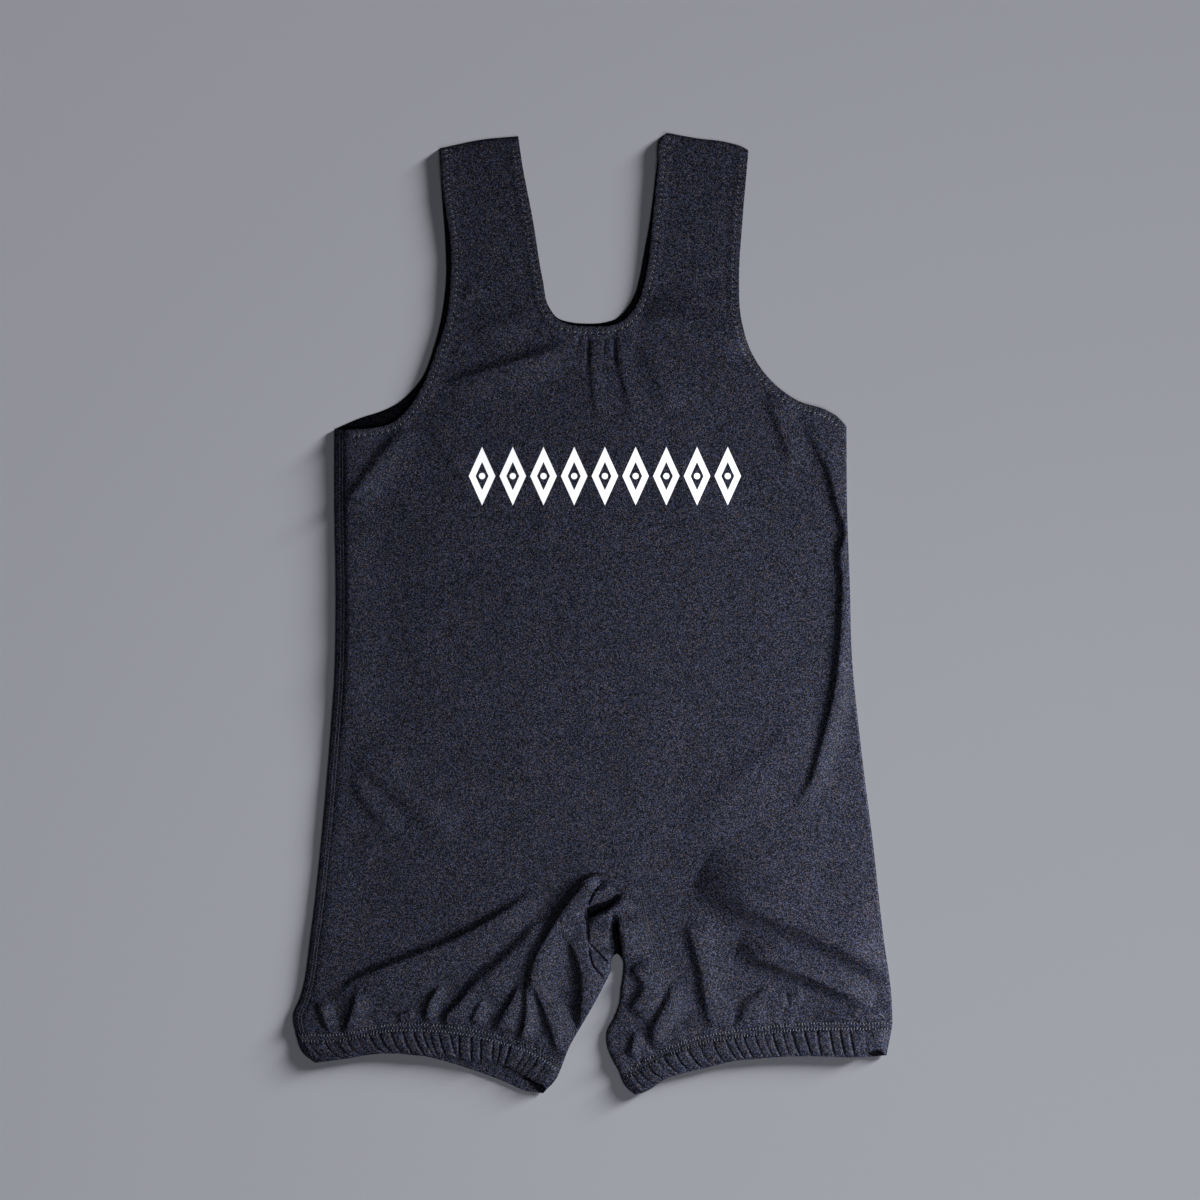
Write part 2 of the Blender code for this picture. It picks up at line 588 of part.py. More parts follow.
def front_panel(left_seam, right_seam):
    """The front, with both front straps, and the strip of it that wraps under at the right side."""
    band_seams = {side: edge_line(f"{side}_band_seam") for side in ("left", "right")}
    armhole = edge_line("right_armhole")
    top = [
        Edge(HEM, edge_line("left_armhole")),
        Edge(SEAM, left_seam),
        Edge(SEAM, between(band_seams["left"], LEFT_WRAP_FOOT, band_seams["left"][-1])),
        Edge(DROP, edge_line("left_inner_leg")),
        *(Edge(SEAM, edge_line(f"gusset_{part}_seam")) for part in ("left", "fold", "top", "right")),
        Edge(SEAM, edge_line("right_inseam")),
        Edge(SEAM, between(band_seams["right"], INSEAM_FOOT, band_seams["right"][-1])),
        Edge(ROLL, edge_line("right_side")),
        Edge(HEM, armhole),
        Edge(DROP, edge_line("right_strap_top")),
        Edge(HEM, edge_line("neck")),
        Edge(DROP, edge_line("left_strap_top")),
    ]
    wrap = [
        Edge(SEAM, right_seam),
        Edge(SEAM, between(band_seams["right"], RIGHT_WRAP_FOOT, band_seams["right"][-1])),
        Edge(ROLL, edge_line("right_side")),
        Edge(PLAIN, between(armhole, armhole[0], RIGHT_WRAP_HEAD)),
    ]
    return [panel(top), panel(wrap, under=True)]


def back_panel(left_seam, right_seam):
    """The back, and the strips of it that wrap over at the left side and at the right leg's inner edge."""
    band_seams = {side: edge_line(f"{side}_band_seam") for side in ("left", "right")}
    crotch = moved_in(np.concatenate([edge_line("left_inner_leg")[:-1], edge_line("notch")]), DROP_INSET)
    armhole = edge_line("right_armhole")
    under = [
        Edge(PLAIN, edge_line("back_left_armhole")),
        Edge(ROLL, edge_line("left_side")),
        Edge(SEAM, band_seams["left"][:-1]),
        Edge(PLAIN, crotch[1:]),
        Edge(ROLL, edge_line("right_inner_leg")),
        Edge(SEAM, between(band_seams["right"], band_seams["right"][0], RIGHT_WRAP_FOOT)),
        Edge(SEAM, right_seam[::-1]),
        Edge(PLAIN, between(armhole, RIGHT_WRAP_HEAD, armhole[-2])),
        Edge(PLAIN, moved_in(edge_line("right_strap_top"), STRAP_INSET)),
        Edge(PLAIN, edge_line("back_neck")),
        Edge(PLAIN, moved_in(edge_line("left_strap_top"), STRAP_INSET)),
    ]
    side_wrap = [
        Edge(ROLL, edge_line("left_side")),
        Edge(SEAM, between(band_seams["left"], band_seams["left"][0], LEFT_WRAP_FOOT)),
        Edge(SEAM, left_seam[::-1]),
        Edge(PLAIN, np.array([LEFT_WRAP_HEAD, EDGES["left_side"][0]], float)),
    ]
    leg_wrap = [
        Edge(ROLL, edge_line("right_inner_leg")),
        Edge(SEAM, between(band_seams["right"], band_seams["right"][0], INSEAM_FOOT)),
        Edge(SEAM, edge_line("right_inseam")[::-1]),
        Edge(SEAM, edge_line("gusset_cross_seam")),
    ]
    return [panel(under, under=True), panel(side_wrap), panel(leg_wrap)]


def gusset():
    """The crotch gusset, which comes down to rest round the notch between the legs."""
    edges = [Edge(SEAM, edge_line(f"gusset_{part}_seam")[::-1]) for part in ("fold", "left")]
    edges.append(Edge(DROP, edge_line("notch")))
    edges += [Edge(SEAM, edge_line(f"gusset_{part}_seam")[::-1]) for part in ("cross", "right", "top")]
    return [panel(edges)]


def leg_band(side):
    """An elastic band as a flat tube."""
    return [band_sheet(side, under=False), band_sheet(side, under=True)]


def clear_scene():
    """Removes whatever the scene holds."""
    for obj in list(bpy.data.objects):
        bpy.data.objects.remove(obj, do_unlink=True)


def main():
    clear_scene()
    left_seam = wrap_seam("left_side", LEFT_WRAP_HEAD, LEFT_WRAP_FOOT)
    right_seam = wrap_seam("right_side", RIGHT_WRAP_HEAD, RIGHT_WRAP_FOOT)
    cloth = cloth_material("stretch_knit", CLOTH_COLOUR)
    elastic = cloth_material("band_knit", BAND_COLOUR)
    make_shell("front_panel", front_panel(left_seam, right_seam), cloth)
    make_shell("back_panel", back_panel(left_seam, right_seam), cloth.copy())
    make_shell("gusset", gusset(), cloth.copy())
    make_shell("left_leg_band", leg_band("left"), elastic)
    make_shell("right_leg_band", leg_band("right"), elastic.copy())


main()
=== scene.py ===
"""Looks of the athletic singlet laid flat, face up: cloth, hems, seams, sewing, print and the stage.

Every sheet of cloth is drawn in plan, in millimetres, close to the outline and folds of its solid, cut
into fine triangles, and laid: each plan point gets an outer and an inner point, one wall apart.
"""

import json
from collections import namedtuple

import bpy
import numpy as np
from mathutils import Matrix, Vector, noise
from mathutils.bvhtree import BVHTree
from mathutils.geometry import delaunay_2d_cdt

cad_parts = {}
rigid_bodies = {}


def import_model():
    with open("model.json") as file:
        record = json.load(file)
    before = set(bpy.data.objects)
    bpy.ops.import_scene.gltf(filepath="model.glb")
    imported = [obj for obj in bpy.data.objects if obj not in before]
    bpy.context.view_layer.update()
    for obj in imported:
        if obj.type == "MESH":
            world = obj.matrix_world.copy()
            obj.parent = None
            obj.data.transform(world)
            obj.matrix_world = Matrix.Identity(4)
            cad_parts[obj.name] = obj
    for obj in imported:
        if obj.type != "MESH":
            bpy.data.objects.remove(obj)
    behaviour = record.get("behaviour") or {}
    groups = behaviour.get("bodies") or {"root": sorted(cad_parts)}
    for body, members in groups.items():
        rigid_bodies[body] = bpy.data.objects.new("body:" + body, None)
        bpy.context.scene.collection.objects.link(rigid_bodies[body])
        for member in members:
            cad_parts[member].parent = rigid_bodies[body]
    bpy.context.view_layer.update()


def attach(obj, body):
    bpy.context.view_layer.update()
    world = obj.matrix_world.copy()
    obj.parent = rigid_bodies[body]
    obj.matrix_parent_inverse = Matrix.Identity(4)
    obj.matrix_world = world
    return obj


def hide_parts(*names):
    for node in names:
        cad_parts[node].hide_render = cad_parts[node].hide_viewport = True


bl_info = {
    "name": "Athletic Singlet",
    "version": (1, 0, 0),
    "blender": (4, 5, 0),
    "location": "3D View > Sidebar > Singlet",
    "description": "Models the cloth, sewing and print of an athletic singlet laid flat",
    "category": "Object",
}

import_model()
MM = 0.001

# Heights of the laid cloth over the floor
FLAT_TOP = 3.0
BAND_TOP = 3.3
CLEAR = 0.12
DEEPEST_TROUGH = 0.6

# How the cloth rolls over at a side, and comes down at a drop edge
ROLL_REACH = 5.0
TIGHT_REACH = 2.0
DROP_REACH = 2.0
DROP_INSET = 2.9
STRAP_INSET = 3.5
WRAP_WIDTH = 7.0
ROLL_SHARES = (0.02, 0.08, 0.18, 0.32, 0.5, 0.72, 1.0)
DROP_SHARES = (0.05, 0.2, 0.5, 1.0)

# Rows of points beside hemmed, seamed and plain edges, as distances from the edge
ROUND_ROWS = (0.1, 0.3, 0.7)
HEM_ROWS = (1.6, 2.8, 4.0, 4.9, 5.8)
SEAM_ROWS = (0.35, 0.8, 1.5, 2.4)

# Hems and seams: their steps, grooves and puckers, and what is left of the wall at a rounded edge
HEM_STEP = 2.0
HEM_GROOVE = 0.16
HEM_STITCH = 4.9
HEM_STITCH_PITCH = 4.15
PUCKER = 0.16
PUCKER_LENGTH = 5.2
PUCKER_REACH = 11.0
PUCKER_FULL = 3.0
HEM_GROOVE_WIDTH = 0.7
SEAM_DIP = 0.12
SEAM_DIP_WIDTH = 0.9
SEAM_PUCKER = 0.13
SEAM_PUCKER_REACH = 4 * SEAM_DIP_WIDTH
HEM_DRIFT = (1.3, 17)
SEAM_DRIFT = (1.1, 13)
EDGE_LEFT = 0.12
EDGE_ROUND = 0.75

# How far the tube stays open where it turns over at its sides
SIDE_PUFFS = {"left_side": 2.5, "right_side": 0.3}
SIDE_PUFF_PLACE = 10.5
SIDE_PUFF_WIDTH = 4.6
SIDE_PUFF_SOFT = 17.0
SIDE_PUFF_FADE = (-120.0, -30.0)
SIDE_PUFF_LEFT = 0.4

# Spacing of the mesh, and how near its points may come
EDGE_STEP = 2.2
FOLD_STEP = 5.0
LATTICE = 1.9
GUSSET_LATTICE = 1.0
CHORD_ERROR = 0.022
FINE_SHARE = 0.55
PROBE = 1.2
TINY = 1e-9
SAME_SPOT = 1e-6
MEETING = 1e-6
WELD = 1e-3
TOO_NEAR = 0.05
BEND_SLACK = 0.93
SMOOTH_ANGLE = 1.2
TRIANGLE_HEIGHT = np.sqrt(0.75)

# Material slots of a piece after its face: its inside (painted shade, but on the bands) and its fold
# openings (painted shade)
INSIDE_SLOT = 1
SHADED_OPENING_SLOT = 2

# Broad unevenness of cloth that was only smoothed by hand, as height, length and a place in the noise
WAVES = ((0.55, 74.0, 3.1), (0.28, 31.0, 8.7), (0.1, 12.0, 15.3))

# Outlines as knots of smooth curves, each run with its cloth on the left
EDGES = {
    "left_armhole": (
        (-114.5, 349), (-113, 322), (-106.5, 270.5), (-107, 247), (-109.5, 222.5), (-118, 196),
        (-129, 168.5), (-141.5, 150.5), (-152, 142.5), (-167, 139), (-186, 137.5)),
    "left_side": (
        (-193.5, 138.5), (-193.5, 80.5), (-192.5, 10), (-193.5, -47), (-197, -97), (-204, -177.5),
        (-211, -239), (-219, -287.5), (-224.5, -302), (-222.5, -315.5)),
    "left_inner_leg": ((-23, -338.5), (-17, -323.5), (-11, -313)),
    "gusset_left_seam": ((-11, -313), (-17, -299.5), (-23, -290), (-34.5, -280), (-48, -275)),
    "gusset_fold_seam": (
        (-48, -275), (-48, -255.5), (-41, -242), (-30, -224), (-17, -206.5), (-4.5, -196), (4, -194)),
    "gusset_top_seam": ((4, -194), (17.5, -197.5), (25.5, -200), (32.5, -205)),
    "gusset_right_seam": (
        (32.5, -205), (35.5, -217), (39, -234.5), (44.5, -251.5), (49.5, -266.5), (56.5, -281)),
    "gusset_cross_seam": ((56.5, -281), (40.5, -281), (21, -280)),
    "notch": (
        (-11, -313), (-0.5, -295), (7.5, -280), (13.5, -266.5), (14, -260), (18, -255), (22, -259.5),
        (22.5, -269.5), (21, -280)),
    "right_inseam": ((56.5, -281), (59.5, -298), (64, -318.5), (65.5, -322)),
    "right_inner_leg": (
        (21, -280), (20, -291.5), (16, -303), (10.5, -314), (10.5, -323), (14, -333), (19.5, -343)),
    "right_side": (
        (224.5, -306.5), (224, -291), (217.5, -241), (210.5, -177.5), (200.5, -97), (194, -31),
        (192.5, 22), (190.5, 75.5), (190, 140)),
    "right_armhole": (
        (190, 140), (183, 147.5), (175.5, 152), (152.5, 160), (133, 175), (119.5, 194), (111, 221),
        (109.5, 251), (112, 293.5), (115.5, 335.5), (116.5, 347.5)),
    "right_strap_top": ((116.5, 347.5), (112, 350), (100, 353.5), (77.5, 356.5), (55.5, 360.5)),
    "neck": (
        (55.5, 360.5), (50.5, 354.5), (48.5, 335.5), (44, 289.5), (40.2, 257), (37, 243), (33.6, 233.5),
        (29.3, 226.6), (23.3, 220.2), (16.4, 216.8), (7, 215.4), (-7, 215.4), (-18.5, 216.8), (-27, 220.8),
        (-32.5, 228), (-37.5, 249.5), (-45, 295), (-53, 337), (-56, 358)),
    "left_strap_top": ((-56, 358), (-83, 355.5), (-114.5, 349)),
    "back_left_armhole": (
        (-114, 344.5), (-113.5, 322), (-110.5, 278), (-110, 251), (-112.5, 227.5), (-119, 200),
        (-129, 175), (-144.5, 159), (-158, 152), (-173.5, 147), (-193.5, 138.5)),
    "back_neck": (
        (50, 350), (48, 335.5), (42, 289.5), (38, 268), (35.5, 254), (31, 238.2), (25.8, 229),
        (18.9, 221.8), (8, 218.2), (-4.5, 217.4), (-16.5, 218.4), (-26.5, 221.6), (-33, 230),
        (-37.8, 249.5), (-45, 295), (-53, 337), (-55.5, 353.5)),
    "left_band_seam": (
        (-222.5, -315.5), (-215.5, -315.5), (-192.5, -315.5), (-169.5, -311), (-153.5, -308),
        (-134, -307.5), (-112.5, -308.5), (-91.5, -311.5), (-72, -316), (-56, -320.5), (-39.5, -327.5),
        (-23, -338.5)),
    "left_band_left_end": ((-222.5, -315.5), (-217.5, -329), (-208.5, -336.5)),
    "left_band_hem": (
        (-208.5, -336.5), (-183, -333), (-165, -330), (-147, -329.5), (-130.5, -331), (-111, -332.5),
        (-85, -336.5), (-66, -338.5), (-52, -346), (-43.5, -350.5), (-38, -353), (-35, -356),
        (-37.5, -359.5)),
    "left_band_back_hem": (
        (-208.5, -336.5), (-183, -333), (-165, -330), (-147, -329.5), (-130.5, -331), (-111, -335.5),
        (-91.5, -341.5), (-63.5, -352), (-51, -357.5), (-37.5, -359.5)),
    "left_band_right_end": ((-23, -338.5), (-27.5, -348.5), (-37.5, -359.5)),
    "right_band_seam": (
        (19.5, -343), (25.5, -341.5), (40.5, -333.5), (56.5, -325), (65.5, -322), (85.5, -316),
        (106, -312.5), (130.5, -309.5), (156, -307), (182, -306.5), (199, -306.5), (217.5, -306.5),
        (224.5, -306.5)),
    "right_band_left_end": ((19.5, -343), (24.5, -354.5), (31.5, -360.5)),
    "right_band_hem": (
        (31.5, -360.5), (40.5, -357.5), (52.5, -349.5), (70, -343.5), (85.5, -340), (103, -335.5),
        (121.5, -333.5), (140.5, -332), (161.5, -331.5), (182, -332), (198, -332), (204, -330.5),
        (209, -327.5), (214, -327), (217.5, -329.5), (220, -331)),
    "right_band_back_hem": (
        (31.5, -360.5), (40.5, -357.5), (52.5, -349.5), (70, -343.5), (85.5, -340), (103, -335.5),
        (121.5, -333.5), (140.5, -332), (161.5, -331.5), (182, -332), (204, -332.5), (220, -331)),
    "right_band_right_end": ((224.5, -306.5), (223.5, -313), (220, -331)),
}
SIDES = ("left", "right")

# Ends of the side seams and of the inseam
LEFT_WRAP_HEAD = (-186, 137.5)
LEFT_WRAP_FOOT = (-215.5, -315.5)
RIGHT_WRAP_HEAD = (183, 147.5)
RIGHT_WRAP_FOOT = (217.5, -306.5)
INSEAM_FOOT = (65.5, -322)

# How much of a fold's length fades at each end, how much narrower it is below its steep side, and how many
# widths out a bump has died away
FOLD_TAPER = 0.28
STEEP_FOOT = 0.7
BELL_REACH = 3

# A fold rises on the left of its path, over the steep width, and dies away over the soft one. One with
# a negative rise is a trough along its path
Fold = namedtuple("Fold", "rise steep soft path")
FOLDS = {
    "left_leg_long": Fold(5.0, 5, 19, (
        (-43.5, -203.5), (-64.5, -217), (-106.5, -240.5), (-150.5, -258), (-182, -272), (-198.5, -287.5))),
    "left_leg_branch": Fold(4.5, 4, 9, ((-179.5, -280), (-183.5, -296), (-189.5, -314))),
    "left_leg_corner": Fold(3.0, 3.5, 7, ((-209, -290.5), (-205.5, -301), (-200, -314))),
    "left_leg_curved": Fold(4.2, 4.5, 12, (
        (-84, -266), (-94, -277), (-103, -289), (-112, -298), (-114, -312))),
    "left_leg_middle": Fold(5.0, 8, 17, (
        (-42, -221), (-56, -238.5), (-78, -260), (-98, -277))),
    "left_leg_short": Fold(3.5, 3.5, 6, ((-116, -276), (-126, -290.5), (-128.5, -306))),
    "left_leg_inner": Fold(4.0, 4.5, 10.5, ((-56, -272), (-68, -294.5), (-77.5, -311))),
    "crotch_tail": Fold(4.5, 3, 8, ((-50, -262), (-52.5, -281), (-53.5, -303), (-58, -322))),
    "crotch_deep": Fold(8.0, 6, 19, (
        (5.5, -193), (-4.5, -195.5), (-17, -206.5), (-30, -224), (-41, -242), (-48.5, -257),
        (-51.5, -278), (-51.5, -292))),
    "crotch_spur": Fold(4.5, 3.4, 11, ((-50, -270), (-46, -281), (-38, -301), (-28, -331))),
    "gusset_long": Fold(6.2, 6.5, 19, (
        (-27, -238), (-18.5, -255.5), (-13.5, -275), (-14.5, -295), (-15.5, -312))),
    "crotch_slot": Fold(4.5, 1.8, 7, ((-3.5, -248), (-5.5, -232), (-4.5, -216), (2, -204), (8, -199))),
    "crotch_groove": Fold(-3.5, 1.3, 1.3, (
        (8, -199.5), (1, -207.5), (-4, -219), (-4.5, -233), (-3.5, -248))),
    "crotch_flap": Fold(4.4, 3, 17, ((20, -208), (15.5, -214), (7, -219.5), (-3, -225))),
    "crotch_lens": Fold(-5.5, 3.2, 3.2, ((21, -207.5), (16, -213.5), (8, -218), (-1, -222), (-7, -228))),
    "crotch_lens_deep": Fold(-6.0, 5.5, 5.5, ((14, -213), (3, -218.5), (-4, -222), (-10, -228))),
    "crotch_flap_low": Fold(5.5, 8, 8, ((14, -211), (5, -215.5), (-2, -218), (-10, -222))),
    "crotch_bowl": Fold(2.0, 3, 5, ((12, -199.5), (5, -206), (0, -214))),
    "crotch_top": Fold(3.5, 2.4, 5, ((22, -199), (12, -194.5), (3, -193), (-7, -197.5), (-18, -208))),
    "gusset_top_groove": Fold(-2.2, 1.2, 1.2, (
        (0, -193), (10, -195.2), (21, -198.3), (32, -203.2), (38, -208))),
    "gusset_top_edge": Fold(1.6, 1.3, 6, ((38, -207), (27, -201.5), (16, -196.5), (4, -193.5))),
    "notch_wedge": Fold(5.5, 4.2, 20, ((15, -224), (16.5, -241), (19, -263))),
    "notch_lip": Fold(-3.5, 2.2, 2.4, ((15, -222), (16, -238), (18.5, -256))),
    "notch_lip_low": Fold(-5.0, 4.6, 4.6, ((14.5, -236), (16.2, -250), (17.5, -266))),
    "right_leg_wide": Fold(11.0, 17, 24, (
        (69, -214), (79, -219), (106, -230.5), (136, -243), (166, -257), (196, -273), (220, -289))),
    "right_leg_second": Fold(8.0, 8.5, 18, (
        (104, -259), (134.4, -269.7), (153, -275.7), (171.5, -284.3), (188.7, -292.3), (206, -301))),
    "right_leg_second_lip": Fold(1.1, 1.3, 1.6, ((199, -288.5), (204.5, -293), (212, -300), (219, -306))),
    "right_leg_steep": Fold(3.6, 6, 13, (
        (65, -228), (70, -248), (76, -270), (79, -290), (85, -313))),
    "right_leg_curl": Fold(2.4, 5.5, 11, ((133, -275), (119, -284), (109, -295), (106, -311))),
    "right_leg_crease": Fold(4.0, 5, 10, (
        (56.5, -275), (52, -288.5), (45, -300.5), (40.5, -312.5), (43.5, -328))),
    "right_leg_dent": Fold(2.5, 4, 6, ((28.5, -312), (24, -331))),
    "waist_left_long": Fold(2.6, 9, 17, ((-185, -105.5), (-165.5, -131), (-144.5, -149), (-108.5, -171.5))),
    "waist_left_short": Fold(2.4, 7, 13, ((-185, -119), (-177.5, -140), (-165.5, -156.5), (-147.5, -167))),
    "right_main": Fold(4.2, 4.5, 10, (
        (150, 152), (160.5, 130), (172, 107), (179, 80), (184.3, 57), (181.5, 49), (182.5, 25), (181, -20),
        (176, -62), (168, -95), (159, -125), (146, -150))),
    "chest_left": Fold(3.0, 7, 14, ((-19.5, 209), (-39.5, 200.5), (-69, 191.5), (-112.5, 177.5))),
    "chest_right": Fold(4.2, 9, 14, ((35.5, 216.5), (70.5, 208), (111, 188.5))),
    "neck_gather_left": Fold(1.5, 3.6, 8, ((-3.5, 212), (-4.2, 190), (-2, 160), (0, 146))),
    "neck_gather_right": Fold(1.6, 3.6, 8, ((15.4, 212), (16.4, 188), (22, 166), (28, 148))),
    "neck_gather_left_foot": Fold(-1.0, 1.3, 1.6, ((-3.4, 216), (-3.8, 204), (-4.2, 186))),
    "neck_gather_right_foot": Fold(-1.0, 1.3, 1.6, ((15.2, 216), (15.6, 204), (16.6, 186))),
    "underarm_left": Fold(2.8, 6, 12, ((-143, 144), (-150, 136), (-166, 117), (-178, 100), (-190, 82))),
    "underarm_right": Fold(2.5, 6, 12, ((125.5, 161.5), (136, 136), (145.5, 109))),
    "strap_right_crease": Fold(0.8, 5, 9, ((67.5, 228), (85, 229), (102, 229.5))),
    "waist_right": Fold(1.5, 14, 20, ((152.5, -68), (110.5, -107), (74.5, -140), (56.5, -155))),
    "chest_left_second": Fold(1.2, 7, 12, ((-45.5, 233.5), (-70, 224), (-95, 213.5))),
    "chest_left_faint": Fold(0.9, 5, 8, ((-98, 235), (-83, 234.5))),
    "strap_right_second": Fold(0.7, 5, 9, ((70.5, 249), (85, 251), (96.5, 252.5))),
    "chest_right_faint": Fold(1.3, 6, 10, ((30, 199), (43, 175), (55.5, 149.5))),
    "chest_right_long": Fold(0.8, 8, 12, ((55.5, 149.5), (59, 105), (60, 56.5))),
    "chest_left_long": Fold(0.7, 7, 10, ((-43.5, 86), (-44, 68), (-43.5, 51.5))),
    "neck_nick_left": Fold(-0.9, 1.3, 1.5, ((-10, 215), (-10.6, 207), (-12, 197))),
    "neck_nick_right": Fold(-0.9, 1.3, 1.5, ((8.2, 215), (8.2, 205), (7.6, 192))),
    "neck_nick_far_left": Fold(-0.4, 1.1, 1.1, ((-18, 216), (-20.5, 209), (-24, 202))),
    "neck_nick_middle": Fold(-0.35, 0.9, 0.9, ((2.5, 215), (2, 209), (1.8, 203))),
    "underarm_left_faint": Fold(1.0, 7, 12, ((-129.5, 146.5), (-112, 112), (-95, 80))),
    "waist_left_faint": Fold(0.8, 6, 9, ((-183.5, -179), (-176, -185), (-168.5, -191))),
    "hip_right_faint": Fold(1.0, 8, 12, ((83.5, -191), (130, -190), (179.5, -188))),
    "hip_middle_faint": Fold(0.8, 5, 8, ((14.5, -192.5), (28, -191), (41.5, -189.5))),
    "left_leg_nick": Fold(1.8, 2.5, 5, ((-136.5, -294.5), (-142, -297.5), (-147, -299))),
    "left_leg_inner_second": Fold(3.0, 3.5, 7, ((-85, -286), (-90, -296), (-94.5, -305))),
    "gusset_slit": Fold(-2.4, 0.9, 0.9, ((16, -266), (13, -263), (5.5, -255.5), (-1, -248.5), (-4, -246))),
    "gusset_slit_low": Fold(-2.2, 0.9, 0.9, (
        (10, -273.5), (7, -271), (0.5, -264), (-2.5, -253), (-3, -248))),
    "gusset_slit_top": Fold(-1.8, 0.8, 0.8, ((16, -255.5), (13, -254), (8.5, -251), (5, -249.5))),
    "gusset_pleat": Fold(1.8, 1.5, 4, ((14, -263.8), (6, -256), (-1.5, -248.2))),
    "gusset_pleat_low": Fold(1.6, 1.5, 4.5, ((8, -275), (1.5, -265), (-3, -251))),
    "gusset_pleat_top": Fold(1.2, 1.3, 4, ((15.5, -255), (8, -250))),
    "right_leg_hollow_left": Fold(1.6, 4, 8, ((127, -294), (137, -296), (147, -295))),
    "right_leg_hollow_right": Fold(1.5, 4, 8, ((147.5, -295), (154, -293), (160, -290.5))),
    "right_leg_nick": Fold(1.2, 2.5, 4, ((116.5, -300), (117.5, -304), (118, -308))),
    "right_leg_hole": Fold(-4.0, 2.0, 2.0, ((41.5, -326), (45.5, -327.5), (49.5, -327))),
    "right_leg_shade": Fold(4.0, 6, 14, ((24, -267), (33, -279), (22, -294))),
    "right_leg_hem_shade": Fold(2.2, 4.5, 4, ((219, -298), (203, -297.5), (185, -297), (166, -296.5))),
}

# Openings between folds, whose upper faces no higher than the ceiling get the dark inside material as
# painted shade
ShadedOpening = namedtuple("ShadedOpening", "ceiling loop")
SHADED_OPENINGS = {
    "gusset_cloth": (
        ShadedOpening(20.0, (
            (-4.2, -220.7), (-0.9, -218.9), (4.5, -216.8), (9.2, -215.6), (14, -213.5), (18.2, -209.9),
            (19.8, -210.2), (18.8, -212.9), (15.8, -216.1), (12.8, -218.9), (9.2, -221.3), (4.5, -223.7),
            (0.9, -226), (-3.3, -228.1), (-4.5, -226.6))),
        ShadedOpening(20.0, (
            (15.5, -232), (17.4, -229.3), (19, -230.8), (19.4, -236.2), (20, -243.4), (21, -249.4),
            (22.3, -258), (18, -255.5), (16.2, -254.5), (15.7, -247), (14.5, -239.8), (14.3, -235.6)))),
    "left_band_cloth": (
        ShadedOpening(2.2, (
            (-54, -345.5), (-43, -350), (-37, -353.5), (-35.5, -357), (-38, -359), (-41, -358.5),
            (-44.5, -355.5), (-47.5, -352.5), (-51, -349.5))),
        ShadedOpening(2.2, ((-65, -337), (-62, -337.5), (-60.5, -340), (-62.5, -341), (-65, -339.5)))),
    "right_band_cloth": (
        ShadedOpening(2.2, (
            (205.5, -327.5), (209, -326.5), (215, -326.8), (217.5, -329), (217, -331.5), (211, -332),
            (206.5, -330.5))),),
}

# Creases of the layer underneath, pressed up from the floor
UNDER_FOLDS = {
    "back_waist_left": Fold(0.3, 7, 12, ((-170, -90), (-130, -120), (-70, -138))),
    "back_waist_right": Fold(0.3, 8, 12, ((172, -60), (126, -96), (66, -112))),
    "back_neck_left": Fold(0.25, 6, 9, ((-30, 200), (-62, 186), (-104, 170))),
    "back_neck_right": Fold(0.25, 6, 9, ((36, 205), (76, 190), (118, 176))),
    "back_seat": Fold(0.3, 8, 14, ((-60, -196), (0, -204), (60, -196))),
    "back_left_leg": Fold(0.35, 6, 12, ((-40, -232), (-92, -262), (-150, -288))),
    "back_left_leg_low": Fold(0.3, 5, 8, ((-60, -264), (-84, -288), (-98, -304))),
    "back_right_leg": Fold(0.35, 6, 12, ((62, -232), (104, -258), (160, -280))),
    "back_right_leg_low": Fold(0.3, 5, 8, ((72, -258), (84, -282), (92, -304))),
    "back_middle": Fold(0.2, 10, 16, ((4, 130), (8, 60), (2, -20))),
}

# Creases of a leg band: where each starts on the seam, how far it leans along the band, and how deep it is
Crease = namedtuple("Crease", "x lean depth")
CREASES = {
    "left": (
        Crease(-214, 3, 0.5), Crease(-203, 5, 1.0), Crease(-197, 3, 0.4), Crease(-194, 5, 0.9),
        Crease(-186, 4, 0.8), Crease(-178, 3, 0.3), Crease(-169.5, 6, 1.0), Crease(-162, 5, 1.0),
        Crease(-153, 4, 0.8), Crease(-144, 4, 1.0), Crease(-136.5, 7, 1.0), Crease(-129.5, 7, 1.0),
        Crease(-123.5, 5, 0.9), Crease(-117, 5, 0.8), Crease(-108.5, 6, 1.0), Crease(-100.5, 0, 0.9),
        Crease(-91.5, 1, 0.9), Crease(-84.5, 1.5, 0.8), Crease(-75, 1, 0.8), Crease(-69, -1, 0.9),
        Crease(-62, -2, 1.0), Crease(-50, -5, 0.8), Crease(-45, -6, 0.7), Crease(-39.5, -7, 0.7),
        Crease(-34, -6, 0.5)),
    "right": (
        Crease(27, 5, 0.9), Crease(32.5, 5, 0.9), Crease(39, 5, 0.8), Crease(46, 5, 0.5),
        Crease(50.5, 5.5, 1.0), Crease(59.5, 4, 0.8), Crease(68, 6, 1.0), Crease(78, 3, 0.4),
        Crease(88, 3, 0.5), Crease(97.5, 4, 0.8), Crease(104, 4, 0.8), Crease(111, 4, 0.9),
        Crease(119.5, 4, 0.6), Crease(127, 3, 0.5), Crease(133, 3.5, 0.9), Crease(141, 3, 0.6),
        Crease(147, 5, 1.0), Crease(156.5, 5, 1.0), Crease(167, 2, 0.8), Crease(176, 4, 0.9),
        Crease(183.5, 5, 1.0), Crease(191, 5, 1.0), Crease(203, 3, 0.3)),
}

# Shape of the creases, and of the ticks that the band's sewing presses in
CREASE_RISE = 1.8
CREASE_STEEP = 7.0
CREASE_GENTLE = 3.4
CREASE_FULL_GAP = 7.0
CREASE_FLAT = 0.12
CREASE_ROWS = (0.17, 0.25, 0.84, 0.98)
CREASE_AT_HEM = 0.3
CREASE_PAST_END = 2.0
BAND_END_FADE = 10
TICK = 0.14
TICK_LENGTH = 2.3
TICK_ROWS = (0.02, 0.19)

